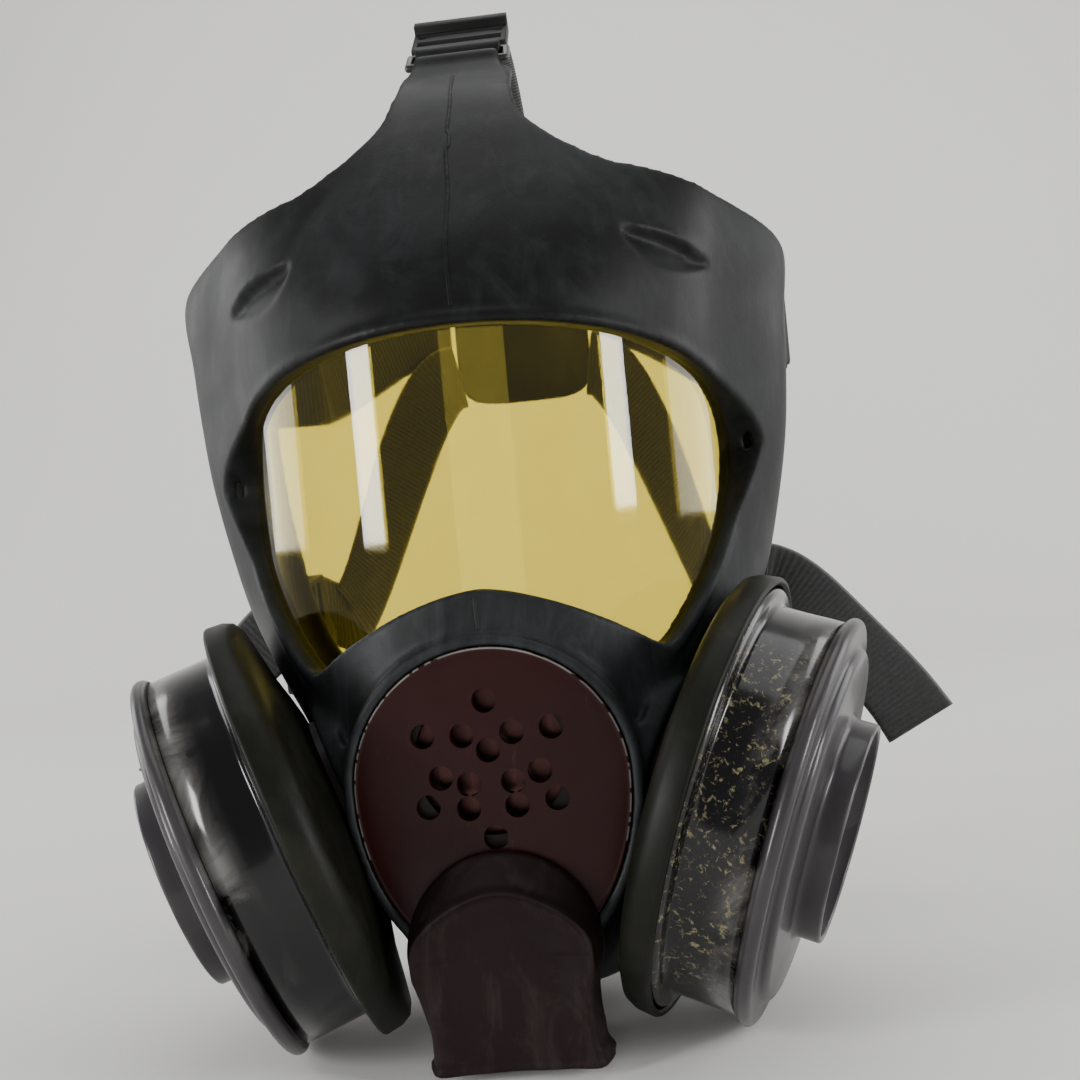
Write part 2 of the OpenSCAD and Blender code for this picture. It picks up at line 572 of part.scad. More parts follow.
strap(cheek_path);  // left_cheek_strap
mirror([1, 0, 0]) strap(cheek_path);  // right_cheek_strap
cheek_tail();  // left_cheek_tail
mirror([1, 0, 0]) cheek_tail();  // right_cheek_tail
crown_pad();
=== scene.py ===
"""Full face respirator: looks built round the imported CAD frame. Metres; +X the wearer's left, -Y forwards."""

import json
import math

import bmesh
import bpy
import numpy as np
from mathutils import Matrix, Vector


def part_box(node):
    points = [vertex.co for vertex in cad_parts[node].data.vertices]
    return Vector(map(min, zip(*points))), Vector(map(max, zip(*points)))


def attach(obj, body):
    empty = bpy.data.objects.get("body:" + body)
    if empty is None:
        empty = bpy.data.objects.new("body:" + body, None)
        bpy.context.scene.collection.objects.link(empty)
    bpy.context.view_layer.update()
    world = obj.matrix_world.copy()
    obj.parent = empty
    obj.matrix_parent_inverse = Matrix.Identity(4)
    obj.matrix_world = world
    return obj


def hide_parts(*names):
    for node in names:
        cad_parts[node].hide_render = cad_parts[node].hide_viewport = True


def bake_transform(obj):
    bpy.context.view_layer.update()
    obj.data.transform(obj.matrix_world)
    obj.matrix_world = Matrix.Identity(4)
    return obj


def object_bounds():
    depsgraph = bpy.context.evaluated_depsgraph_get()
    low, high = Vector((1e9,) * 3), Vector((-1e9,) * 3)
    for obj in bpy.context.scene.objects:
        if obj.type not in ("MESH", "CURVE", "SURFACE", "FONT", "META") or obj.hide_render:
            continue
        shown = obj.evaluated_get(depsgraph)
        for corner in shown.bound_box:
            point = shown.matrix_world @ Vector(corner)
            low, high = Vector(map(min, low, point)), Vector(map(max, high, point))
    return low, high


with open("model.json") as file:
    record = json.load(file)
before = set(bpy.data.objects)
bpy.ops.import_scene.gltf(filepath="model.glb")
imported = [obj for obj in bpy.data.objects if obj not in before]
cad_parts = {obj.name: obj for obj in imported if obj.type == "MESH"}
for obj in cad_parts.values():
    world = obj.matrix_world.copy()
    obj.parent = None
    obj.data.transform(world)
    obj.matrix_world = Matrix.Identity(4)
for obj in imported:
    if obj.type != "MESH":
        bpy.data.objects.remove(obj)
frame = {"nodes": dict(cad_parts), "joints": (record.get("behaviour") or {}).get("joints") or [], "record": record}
CAD_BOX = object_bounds()
MM = 0.001
AXIS_R = 0.001  # radius in millimetres at which a revolved outline starts, next to its axis


# ------------------------------------------------------------------ stage, light and camera
def build_stage():
    """A pale floor that curves up into a wall behind the mask."""
    floor_z = CAD_BOX[0][2] - 0.0005
    near, bend, radius, height, half_width, steps = -2.0, 0.9, 0.5, 3.0, 3.0, 12
    profile = [(near, 0.0), (bend, 0.0)]
    for i in range(1, steps + 1):
        a = math.pi / 2 * i / steps
        profile.append((bend + radius * math.sin(a), radius * (1 - math.cos(a))))
    profile.append((bend + radius, height))
    verts = [(x, y, floor_z + z) for x in (-half_width, half_width) for y, z in profile]
    n = len(profile)
    faces = [(i, i + 1, n + i + 1, n + i) for i in range(n - 1)]
    obj = mesh_object("floor", verts, faces)
    mat, _, shader = new_material("floor_paper")
    shader.inputs["Base Color"].default_value = (0.80, 0.79, 0.77, 1)
    shader.inputs["Roughness"].default_value = 0.85
    obj.data.materials.append(mat)


def build_camera():
    """The camera stands a little to the wearer's left, close to the mask, and is rolled."""
    yaw, roll, distance, side = math.radians(-4.88), math.radians(-5.36), 0.3747, -0.0149
    to_camera = Matrix.Rotation(roll, 3, "Y") @ Matrix.Rotation(yaw, 3, "Z")
    to_world = to_camera.transposed()
    place = to_world @ Vector((-side, -distance, 0))
    axes = Matrix((to_world @ Vector((1, 0, 0)), to_world @ Vector((0, 0, 1)), to_world @ Vector((0, -1, 0))))
    camera = bpy.data.objects.new("camera", bpy.data.cameras.new("camera"))
    camera.matrix_world = Matrix.Translation(place) @ axes.transposed().to_4x4()
    camera.data.sensor_width = 36.0
    camera.data.lens = 46.6667
    camera.data.clip_start = 0.01
    bpy.context.scene.collection.objects.link(camera)
    bpy.context.scene.camera = camera


def area_light(name, place, target, size, power, shape=(1, 1)):
    light = bpy.data.lights.new(name, "AREA")
    light.shape = "RECTANGLE"
    light.size, light.size_y = size * shape[0], size * shape[1]
    light.energy = power
    obj = bpy.data.objects.new(name, light)
    obj.location = place
    obj.rotation_euler = (Vector(target) - Vector(place)).to_track_quat("-Z", "Y").to_euler()
    bpy.context.scene.collection.objects.link(obj)
    return obj


def build_lights():
    """Two window-like lamps at the sides, a broad soft light above and a dim pale surround."""
    aim = (0, 0.0, 0.0)
    area_light("window_left", (-1.15, -0.84, 0.28), aim, 0.42, 15, (0.7, 1.3))
    area_light("window_right", (1.35, -0.62, 0.30), aim, 0.42, 13, (0.7, 1.3))
    front_fill = area_light("front_fill", (0.0, -1.7, 0.15), aim, 0.9, 9)
    front_fill.visible_glossy = False
    area_light("overhead", (0.1, 0.3, 1.7), aim, 1.6, 15)
    area_light("rim_left", (-1.3, 0.5, 0.4), aim, 0.8, 8)
    area_light("rim_right", (1.3, 0.5, 0.4), aim, 0.8, 8)
    world = bpy.data.worlds.new("surround")
    world.use_nodes = True
    world.node_tree.nodes["Background"].inputs["Color"].default_value = (0.92, 0.92, 0.95, 1)
    world.node_tree.nodes["Background"].inputs["Strength"].default_value = 0.30
    bpy.context.scene.world = world


# ------------------------------------------------------------------ mesh helpers
def mesh_object(name, verts, faces):
    mesh = bpy.data.meshes.new(name)
    mesh.from_pydata([tuple(v) for v in verts], [], [tuple(f) for f in faces])
    mesh.validate()
    fix = bmesh.new()
    fix.from_mesh(mesh)
    bmesh.ops.recalc_face_normals(fix, faces=fix.faces)
    fix.to_mesh(mesh)
    fix.free()
    mesh.polygons.foreach_set("use_smooth", [True] * len(mesh.polygons))
    obj = bpy.data.objects.new(name, mesh)
    bpy.context.scene.collection.objects.link(obj)
    return obj


def apply_modifiers(obj):
    graph = bpy.context.evaluated_depsgraph_get()
    mesh = bpy.data.meshes.new_from_object(obj.evaluated_get(graph))
    old = obj.data
    obj.modifiers.clear()
    obj.data = mesh
    bpy.data.meshes.remove(old)
    mesh.polygons.foreach_set("use_smooth", [True] * len(mesh.polygons))
    return obj


def remesh(obj, voxel, rounds):
    """Fuses overlapping closed shells, then rounds every edge by a few smoothing passes."""
    mod = obj.modifiers.new("fuse", "REMESH")
    mod.mode = "VOXEL"
    mod.voxel_size = voxel
    mod.use_smooth_shade = True
    soft = obj.modifiers.new("soften", "SMOOTH")
    soft.factor = 0.5
    soft.iterations = rounds
    return apply_modifiers(obj)


def close_core(obj):
    """A revolved outline that starts at the axis is a tube of no width there; its core is welded shut."""
    bm = bmesh.new()
    bm.from_mesh(obj.data)
    bmesh.ops.remove_doubles(bm, verts=bm.verts, dist=0.01 * MM)
    bmesh.ops.delete(bm, geom=[e for e in bm.edges if not e.link_faces], context="EDGES")
    bm.to_mesh(obj.data)
    bm.free()


def cut(obj, cutter):
    close_core(cutter)
    mod = obj.modifiers.new("cut", "BOOLEAN")
    mod.operation = "DIFFERENCE"
    mod.solver = "MANIFOLD"
    mod.object = cutter
    apply_modifiers(obj)
    bpy.data.objects.remove(cutter)
    return obj


def join(name, objects):
    """One object that holds all the given meshes."""
    whole = bmesh.new()
    for obj in objects:
        piece = obj.data.copy()
        piece.transform(obj.matrix_world)
        whole.from_mesh(piece)
        bpy.data.meshes.remove(piece)
        bpy.data.objects.remove(obj)
    mesh = bpy.data.meshes.new(name)
    whole.to_mesh(mesh)
    whole.free()
    mesh.polygons.foreach_set("use_smooth", [True] * len(mesh.polygons))
    obj = bpy.data.objects.new(name, mesh)
    bpy.context.scene.collection.objects.link(obj)
    return obj


def grid_solid(name, outer, inner):
    """A closed skin between two equal grids of points, arrays of shape (rows, columns, 3)."""
    rows, cols = outer.shape[:2]
    half = rows * cols
    verts = np.concatenate([outer.reshape(-1, 3), inner.reshape(-1, 3)])
    faces = []
    for i in range(rows - 1):
        for j in range(cols - 1):
            a = i * cols + j
            faces.append((a, a + 1, a + cols + 1, a + cols))
            faces.append((half + a, half + a + cols, half + a + cols + 1, half + a + 1))
    edge = [(0, j) for j in range(cols)] + [(i, cols - 1) for i in range(1, rows)]
    edge += [(rows - 1, j) for j in range(cols - 2, -1, -1)] + [(i, 0) for i in range(rows - 2, 0, -1)]
    loop = [i * cols + j for i, j in edge]
    for a, b in zip(loop, loop[1:] + loop[:1]):
        faces.append((a, b, b + half, a + half))
    return mesh_object(name, verts, faces)


def bar(name, rings):
    """A closed bar through rings of equal numbers of points."""
    count, m = len(rings), len(rings[0])
    verts = [p for ring in rings for p in ring]
    faces = []
    for i in range(count - 1):
        for j in range(m):
            k = (j + 1) % m
            faces.append((i * m + j, i * m + k, (i + 1) * m + k, (i + 1) * m + j))
    faces.append(tuple(range(m - 1, -1, -1)))
    faces.append(tuple((count - 1) * m + j for j in range(m)))
    return mesh_object(name, verts, faces)


def frames_along(path, closed=False):
    """Points, tangents, and two steady cross directions along a path."""
    path = np.asarray(path, float)
    ahead = np.roll(path, -1, 0)
    behind = np.roll(path, 1, 0)
    if not closed:
        ahead[-1], behind[0] = path[-1], path[0]
    tangent = ahead - behind
    tangent /= np.linalg.norm(tangent, axis=1)[:, None]
    side = np.cross(tangent[0], (0.31, 0.17, 0.93))
    sides = []
    for t in tangent:
        side = side - t * (side @ t)
        side /= np.linalg.norm(side)
        sides.append(side.copy())
    sides = np.array(sides)
    return path, tangent, sides, np.cross(tangent, sides)


def tube(name, path, radius, sides=10, closed=False):
    """A round tube; radius is a number or one number a point."""
    path, _, u, v = frames_along(path, closed)
    radii = np.broadcast_to(radius, len(path))
    turn = np.linspace(0, 2 * math.pi, sides, endpoint=False)
    rings = [
        [p + r * (math.cos(a) * x + math.sin(a) * y) for a in turn]
        for p, r, x, y in zip(path, radii, u, v)
    ]
    if not closed:
        return bar(name, rings)
    verts = [p for ring in rings for p in ring]
    count = len(rings)
    faces = []
    for i in range(count):
        for j in range(sides):
            a, b = i * sides + j, i * sides + (j + 1) % sides
            c, d = ((i + 1) % count) * sides + (j + 1) % sides, ((i + 1) % count) * sides + j
            faces.append((a, b, c, d))
    return mesh_object(name, verts, faces)


def revolve(name, outline, place, turns=160):
    """A closed (r, z) outline spun round the local Z axis, then moved by the matrix place."""
    outline = np.asarray(outline, float)
    m = len(outline)
    angle = np.linspace(0, 2 * math.pi, turns, endpoint=False)
    verts = np.array([[r * math.cos(a), r * math.sin(a), z] for a in angle for r, z in outline])
    faces = []
    for i in range(turns):
        here, there = i * m, (i + 1) % turns * m
        for j in range(m):
            k = (j + 1) % m
            faces.append((here + j, here + k, there + k, there + j))
    obj = mesh_object(name, verts * MM, faces)
    obj.data.transform(place)
    return obj


def smooth_step(x):
    c = np.clip(x, 0, 1)
    return c * c * (3 - 2 * c)


# ------------------------------------------------------------------ materials
def new_material(name):
    mat = bpy.data.materials.new(name)
    mat.use_nodes = True
    return mat, mat.node_tree, mat.node_tree.nodes["Principled BSDF"]


def noise(tree, scale, detail, roughness, coords, distortion=0.0):
    tex = tree.nodes.new("ShaderNodeTexNoise")
    tex.inputs["Scale"].default_value = scale
    tex.inputs["Detail"].default_value = detail
    tex.inputs["Roughness"].default_value = roughness
    tex.inputs["Distortion"].default_value = distortion
    tree.links.new(coords, tex.inputs["Vector"])
    return tex.outputs["Fac"]


def object_coords(tree, stretch=(1, 1, 1), turn=(0, 0, 0)):
    """The piece's own coordinates in metres, turned and stretched."""
    coords = tree.nodes.new("ShaderNodeTexCoord")
    mapping = tree.nodes.new("ShaderNodeMapping")
    mapping.inputs["Scale"].default_value = stretch
    mapping.inputs["Rotation"].default_value = turn
    tree.links.new(coords.outputs["Object"], mapping.inputs["Vector"])
    return mapping.outputs["Vector"]


def ramp(tree, value, stops):
    """stops: (position, grey or colour)."""
    node = tree.nodes.new("ShaderNodeValToRGB")
    tree.links.new(value, node.inputs["Fac"])
    while len(node.color_ramp.elements) < len(stops):
        node.color_ramp.elements.new(0.5)
    for element, (position, colour) in zip(node.color_ramp.elements, stops):
        element.position = position
        colour = colour if isinstance(colour, tuple) else (colour,) * 3
        element.color = (*colour, 1)
    return node.outputs["Color"]


def mix(tree, factor, a, b):
    node = tree.nodes.new("ShaderNodeMix")
    node.data_type = "RGBA"
    tree.links.new(factor, node.inputs[0])
    for socket, value in ((node.inputs[6], a), (node.inputs[7], b)):
        if isinstance(value, tuple):
            socket.default_value = (*value, 1)
        else:
            tree.links.new(value, socket)
    return node.outputs[2]


def bump(tree, shader, height, strength, distance, below=None):
    node = tree.nodes.new("ShaderNodeBump")
    node.inputs["Strength"].default_value = strength
    node.inputs["Distance"].default_value = distance
    tree.links.new(height, node.inputs["Height"])
    if below is not None:
        tree.links.new(below, node.inputs["Normal"])
    tree.links.new(node.outputs["Normal"], shader.inputs["Normal"])
    return node.outputs["Normal"]


def worn_edges(tree, low=0.50, high=0.56):
    """1 on convex edges, from the mesh's own curvature."""
    geometry = tree.nodes.new("ShaderNodeNewGeometry")
    return ramp(tree, geometry.outputs["Pointiness"], [(low, 0.0), (high, 1.0)])


def multiply(tree, a, b):
    node = tree.nodes.new("ShaderNodeMath")
    node.operation = "MULTIPLY"
    for socket, value in zip(node.inputs, (a, b)):
        if isinstance(value, float):
            socket.default_value = value
        else:
            tree.links.new(value, socket)
    return node.outputs[0]


def bloom_below_lens(tree, xyz, dust, colour, bloom):
    """Grey bloom that gathers on the bridge and the cheeks, below the middle of the lens."""
    split = tree.nodes.new("ShaderNodeSeparateXYZ")
    tree.links.new(xyz, split.inputs[0])
    fade = tree.nodes.new("ShaderNodeMapRange")
    fade.inputs["From Min"].default_value = 0.005
    fade.inputs["From Max"].default_value = -0.025
    tree.links.new(split.outputs["Z"], fade.inputs["Value"])
    patchy = ramp(tree, dust, [(0.35, 0.25), (0.75, 1.0)])
    amount = multiply(tree, multiply(tree, fade.outputs["Result"], patchy), 0.75)
    return mix(tree, amount, colour, bloom)


def rubber_material(name, base, bloom, rough=(0.36, 0.58), bloom_stops=(0.48, 0.78), low_bloom=False):
    """Moulded rubber with a blotchy, speckled bloom and a fine grain."""
    mat, tree, shader = new_material(name)
    xyz = object_coords(tree)
    streaky = object_coords(tree, stretch=(1, 1, 0.35))
    blotch = noise(tree, 26, 6, 0.6, xyz, 0.6)
    dust = noise(tree, 90, 8, 0.7, streaky, 1.2)
    mask = ramp(tree, blotch, [(bloom_stops[0], 0.0), (bloom_stops[1], 1.0)])
    speck = ramp(tree, dust, [(0.50, 0.0), (0.80, 1.0)])
    colour = mix(tree, mask, base, tuple(0.55 * b + 0.45 * c for b, c in zip(base, bloom)))
    colour = mix(tree, multiply(tree, speck, 0.35), colour, bloom)
    if low_bloom:
        colour = bloom_below_lens(tree, xyz, dust, colour, bloom)
    tree.links.new(colour, shader.inputs["Base Color"])
    tree.links.new(ramp(tree, blotch, [(0.25, rough[0]), (0.75, rough[1])]), shader.inputs["Roughness"])
    shader.inputs["Specular IOR Level"].default_value = 0.16
    fine = bump(tree, shader, noise(tree, 1800, 3, 0.6, xyz), 0.35, 0.00012)
    bump(tree, shader, noise(tree, 60, 4, 0.5, xyz), 0.25, 0.0008, fine)
    return mat


def enamel_material(name, base, rough=(0.10, 0.26), scratch=0.6, residue=None):
    """Black enamel on pressed metal with scuffs, fine scratches and rubbed seams."""
    worn = (0.30, 0.29, 0.27)
    mat, tree, shader = new_material(name)
    xyz = object_coords(tree)
    smear = noise(tree, 38, 7, 0.65, xyz, 0.8)
    scuff = noise(tree, 260, 6, 0.75, object_coords(tree, (1, 0.25, 1), (0.3, 0.5, 0.2)), 0.4)
    marks = ramp(tree, scuff, [(0.66, 0.0), (0.74, 1.0)])
    edge = multiply(tree, worn_edges(tree, 0.515, 0.56), ramp(tree, smear, [(0.42, 0.0), (0.60, 1.0)]))
    colour = mix(tree, multiply(tree, marks, 0.10 * scratch), base, worn)
    colour = mix(tree, multiply(tree, edge, 0.35), colour, worn)
    if residue:
        colour = residue(tree, colour)
    tree.links.new(colour, shader.inputs["Base Color"])
    tree.links.new(ramp(tree, smear, [(0.30, rough[0]), (0.72, rough[1])]), shader.inputs["Roughness"])
    shader.inputs["Specular IOR Level"].default_value = 0.30
    shader.inputs["Coat Weight"].default_value = 0.28
    shader.inputs["Coat Roughness"].default_value = 0.12
    bump(tree, shader, noise(tree, 90, 3, 0.5, xyz), 0.10, 0.0004)
    return mat


def plastic_material(name, base, light, rough=(0.30, 0.45), rubbed=0.55):
    """Moulded plastic with faint flow blotches, hairline scratches and paler worn edges."""
    mat, tree, shader = new_material(name)
    xyz = object_coords(tree)
    flow = noise(tree, 45, 5, 0.6, xyz, 0.5)
    hair = noise(tree, 420, 5, 0.8, object_coords(tree, (1, 1, 0.12), (0, 0.5, 0)), 0.2)
    lines = ramp(tree, hair, [(0.62, 0.0), (0.72, 1.0)])
    edge = multiply(tree, worn_edges(tree), ramp(tree, flow, [(0.35, 0.2), (0.60, 1.0)]))
    colour = mix(tree, multiply(tree, flow, 0.4), base, tuple(1.5 * c for c in base))
    colour = mix(tree, multiply(tree, lines, 0.14), colour, light)
    colour = mix(tree, multiply(tree, edge, rubbed), colour, light)
    tree.links.new(colour, shader.inputs["Base Color"])
    tree.links.new(ramp(tree, flow, [(0.30, rough[0]), (0.70, rough[1])]), shader.inputs["Roughness"])
    shader.inputs["Specular IOR Level"].default_value = 0.22
    bump(tree, shader, noise(tree, 1400, 3, 0.6, xyz), 0.3, 0.00006)
    return mat


def lens_material():
    """Amber polycarbonate with a thin, patchy haze and hairline scratches."""
    mat, tree, shader = new_material("amber_lens")
    xyz = object_coords(tree)
    haze = noise(tree, 70, 6, 0.7, xyz, 1.0)
    hair = noise(tree, 500, 4, 0.8, object_coords(tree, (0.1, 1, 1), (0.2, 0.6, 0)), 0.3)
    tree.links.new(ramp(tree, haze, [(0.45, 0.015), (0.85, 0.09)]), shader.inputs["Roughness"])
    tint = mix(tree, ramp(tree, haze, [(0.4, 0.0), (0.9, 1.0)]), (0.97, 0.78, 0.09), (0.93, 0.71, 0.07))
    tree.links.new(tint, shader.inputs["Base Color"])
    shader.inputs["Transmission Weight"].default_value = 1.0
    shader.inputs["IOR"].default_value = 1.45
    shader.inputs["Specular IOR Level"].default_value = 0.6
    bump(tree, shader, hair, 0.03, 0.0001)
    return mat


def webbing_material():
    """Black elastic webbing: fuzzy yarn with patches of dust."""
    mat, tree, shader = new_material("webbing")
    xyz = object_coords(tree)
    fuzz = noise(tree, 900, 5, 0.7, xyz)
    dust = noise(tree, 60, 5, 0.6, xyz, 0.6)
    high = ramp(tree, fuzz, [(0.40, 0.0), (0.75, 1.0)])
    colour = mix(tree, high, (0.010, 0.010, 0.010), (0.030, 0.029, 0.027))
    colour = mix(tree, ramp(tree, dust, [(0.55, 0.0), (0.85, 0.5)]), colour, (0.055, 0.050, 0.044))
    tree.links.new(colour, shader.inputs["Base Color"])
    shader.inputs["Roughness"].default_value = 0.85
    shader.inputs["Sheen Weight"].default_value = 0.25
    bump(tree, shader, fuzz, 0.6, 0.0002)
    return mat


def speckled_residue(tree, colour):
    """Remains of a worn label: yellow-grey specks on one side of the can's band."""
    xyz = object_coords(tree)
    fine = noise(tree, 620, 6, 0.7, xyz, 0.5)
    patch = noise(tree, 34, 3, 0.5, xyz)
    split = tree.nodes.new("ShaderNodeSeparateXYZ")
    tree.links.new(xyz, split.inputs[0])
    front = tree.nodes.new("ShaderNodeMapRange")
    front.inputs["From Min"].default_value = -0.028
    front.inputs["From Max"].default_value = -0.036
    tree.links.new(split.outputs["Y"], front.inputs["Value"])
    specks = ramp(tree, fine, [(0.56, 0.0), (0.64, 1.0)])
    mask = multiply(tree, specks, ramp(tree, patch, [(0.34, 0.0), (0.46, 1.0)]))
    mask = multiply(tree, mask, front.outputs["Result"])
    return mix(tree, multiply(tree, mask, 0.8), colour, (0.20, 0.18, 0.09))


def granule_material():
    mat, tree, shader = new_material("carbon_granules")
    cells = tree.nodes.new("ShaderNodeTexVoronoi")
    cells.inputs["Scale"].default_value = 900
    tree.links.new(object_coords(tree), cells.inputs["Vector"])
    shade = ramp(tree, cells.outputs["Distance"], [(0.0, 0.03), (0.7, 0.004)])
    tree.links.new(shade, shader.inputs["Base Color"])
    shader.inputs["Roughness"].default_value = 0.7
    bump(tree, shader, cells.outputs["Distance"], 0.8, 0.0006)
    return mat


def fibre_material(name, base, dark):
    mat, tree, shader = new_material(name)
    fibre = noise(tree, 500, 8, 0.75, object_coords(tree, (1, 1, 3)), 1.5)
    colour = mix(tree, ramp(tree, fibre, [(0.3, 0.0), (0.8, 1.0)]), dark, base)
    tree.links.new(colour, shader.inputs["Base Color"])
    shader.inputs["Roughness"].default_value = 0.95
    bump(tree, shader, fibre, 0.7, 0.0004)
    return mat


def metal_material(name, base, rough):
    mat, tree, shader = new_material(name)
    grain = noise(tree, 300, 5, 0.7, object_coords(tree, (1, 1, 0.1)))
    tree.links.new(mix(tree, grain, tuple(0.7 * c for c in base), base), shader.inputs["Base Color"])
    tree.links.new(ramp(tree, grain, [(0.3, rough - 0.08), (0.7, rough + 0.1)]), shader.inputs["Roughness"])
    shader.inputs["Metallic"].default_value = 1.0
    bump(tree, shader, grain, 0.15, 0.0002)
    return mat


PIECE_MATERIALS = [
    rubber_material("facepiece_rubber", (0.0045, 0.0048, 0.0046), (0.036, 0.040, 0.042), low_bloom=True),
    rubber_material(
        "hood_rubber", (0.0100, 0.0048, 0.0046), (0.060, 0.052, 0.046), (0.50, 0.72), (0.56, 0.90)
    ),
    rubber_material("holder_rubber", (0.0055, 0.0058, 0.0036), (0.028, 0.028, 0.018), (0.38, 0.55)),
    rubber_material("gasket", (0.012, 0.012, 0.012), (0.05, 0.05, 0.05)),
    rubber_material("valve_rubber", (0.05, 0.05, 0.045), (0.12, 0.12, 0.11), (0.3, 0.45)),
    rubber_material("pad_rubber", (0.015, 0.016, 0.016), (0.07, 0.07, 0.07), (0.5, 0.7)),
    plastic_material("speech_plate", (0.0150, 0.0022, 0.0021), (0.16, 0.12, 0.10), rubbed=0.0),
    plastic_material("housing_plastic", (0.006, 0.0018, 0.0016), (0.05, 0.04, 0.035), rubbed=0.1),
    plastic_material("buckle", (0.004, 0.004, 0.004), (0.05, 0.05, 0.045), (0.45, 0.6), rubbed=0.2),
    enamel_material("cartridge_paint", (0.0022, 0.0018, 0.0022)),
    enamel_material("cartridge_paint_worn", (0.0022, 0.0018, 0.0022), residue=speckled_residue),
    enamel_material("lid_paint", (0.026, 0.023, 0.025), (0.34, 0.48), 1.0),
    enamel_material("screen_metal", (0.030, 0.030, 0.032), (0.35, 0.5), 1.0),
    enamel_material("wire", (0.007, 0.007, 0.007), (0.25, 0.4), 1.0),
    webbing_material(),
    fibre_material("filter_paper", (0.62, 0.58, 0.50), (0.40, 0.36, 0.30)),
    metal_material("retainer_metal", (0.55, 0.55, 0.55), 0.35),
    metal_material("diaphragm", (0.075, 0.036, 0.033), 0.30),
    # A pale plastic for the painted highlight along the speech plate's rim.
    plastic_material("rim_highlight_paint", (0.06, 0.05, 0.045), (0.30, 0.28, 0.25), (0.35, 0.5)),
]
# A name that the frame's materials already use gets a number after a dot.
MATERIALS = {material.name.partition(".")[0]: material for material in PIECE_MATERIALS}
MATERIALS |= {"lens": lens_material(), "sorbent": granule_material()}


def finish_piece(obj, slot, body="root", replaces=(), material=None):
    """Gives a piece its material, its body, and the CAD nodes that it stands for."""
    obj.data.materials.clear()
    obj.data.materials.append(MATERIALS[material or slot])
    if body:
        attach(obj, body)
    if replaces:
        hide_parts(*replaces)
    return obj


# ------------------------------------------------------------------ facepiece
# The stations of part.scad: height, front y, half width, y of the widest point, squareness,
# flare behind the lens, rear y, in millimetres.
STATIONS = np.array([
    [-117, 44, 16, 50, 1, 0, 58],
    [-122, 22, 24, 44, 0.9, 0, 58],
    [-121, 0, 31, 38, 0.8, 0, 58],
    [-113, -18, 30, 35, 0.7, 4, 59],
    [-100, -26, 34, 36, 0.6, 7, 60],
    [-84, -28.5, 39.5, 40, 0.55, 9, 62],
    [-66, -29, 45, 43, 0.55, 9, 64],
    [-50, -29.3, 49, 45, 0.6, 10, 66],
    [-34, -29, 60.5, 46.4, 0.78, 8, 68],
    [-16, -28.3, 70.5, 46.8, 0.95, 6.5, 70],
    [4, -27.7, 74.5, 46.8, 1, 8, 73],
    [24, -27.7, 74.5, 46.8, 1, 12, 76],
    [44, -27.7, 74.5, 46.8, 1, 14, 78],
    [60, -26.3, 75.5, 47, 1, 14, 80],
    [76, -20, 79, 48, 1, 12, 81],
    [90, -12, 80.5, 51, 1, 8, 81],
    [102, -4, 80, 57, 1, 4, 82],
    [114, 5, 78, 68, 1, 1, 90],
    [126, 17, 76, 84, 1, 0, 100],
    [139, 38, 75, 113, 1, 0, 125],
])
TOP_V = len(STATIONS) - 1
FRONT_SPAN, SKIRT_SPAN, SEAL_R, SEAL_TURN = 0.7, 0.12, 9.0, math.radians(115)
RUBBER_T = 3.4
LENS_Y, LENS_R, LENS_T = 46.8, 71.3, 2.4
LENS_HALF_ANGLE, LENS_MID_Z, LENS_TOP_RISE = 76.0, 20.0, 34.0
LENS_CORNER_ANGLE, LENS_BRIDGE_Z = 39.0, -12.3
PLATE_HALF_W, PLATE_UP, PLATE_DOWN, PLATE_MID_Z, PLATE_FRONT = 34.6, 34.0, 46.0, -60.0, -31.0


def catmull(rows, v):
    """Rows of numbers read at fractional row numbers v by a Catmull-Rom curve."""
    last = len(rows) - 1
    i = np.minimum(np.floor(v).astype(int), last - 1)
    u = (v - i)[..., None]
    a, b = rows[np.maximum(i - 1, 0)], rows[i]
    c, d = rows[i + 1], rows[np.minimum(i + 2, last)]
    return 0.5 * (2 * b + (c - a) * u + (2 * a - 5 * b + 4 * c - d) * u**2 + (3 * b - a - 3 * c + d) * u**3)


def face_point(t, v):
    """A point of the outer rubber skin, in millimetres: t across from -1 to 1, v up from 0."""
    s = catmull(STATIONS, v)
    z, front, half, mid, square, flare, rear = np.moveaxis(s, -1, 0)
    a = np.abs(t)
    wide = half + flare
    r = np.minimum(SEAL_R, half / 4)
    phi = np.pi / 2 * np.minimum(a / FRONT_SPAN, 1)
    x1 = half * np.sin(phi) ** square + flare * smooth_step((np.degrees(phi) - 58) / 32)
    y1 = front + (mid - front) * (1 - np.maximum(np.cos(phi), 0) ** square)
    q = (a - FRONT_SPAN) / SKIRT_SPAN
    y2 = mid + (rear - r - mid) * q
    turn = SEAL_TURN * (a - FRONT_SPAN - SKIRT_SPAN) / (1 - FRONT_SPAN - SKIRT_SPAN)
    x3 = wide - r * (1 - np.cos(turn))
    y3 = rear - r + r * np.sin(turn)
    x = np.where(a <= FRONT_SPAN, x1, np.where(q <= 1, wide, x3))
    y = np.where(a <= FRONT_SPAN, y1, np.where(q <= 1, y2, y3))
    return np.stack([np.sign(t) * x, y, z], -1)


def face_normal(t, v):
    dt, dv = 0.004, 0.02
    across = face_point(np.minimum(t + dt, 1), v) - face_point(np.maximum(t - dt, -1), v)
    up = face_point(t, np.minimum(v + dv, TOP_V)) - face_point(t, np.maximum(v - dv, 0))
    n = np.cross(across, up)
    return n / np.linalg.norm(n, axis=-1)[..., None]


def edge_top(th, g):
    far = LENS_HALF_ANGLE + 0.8 * g
    return LENS_MID_Z + (LENS_TOP_RISE + g) * np.maximum(1 - (th / far) ** 2, 0) ** 0.6


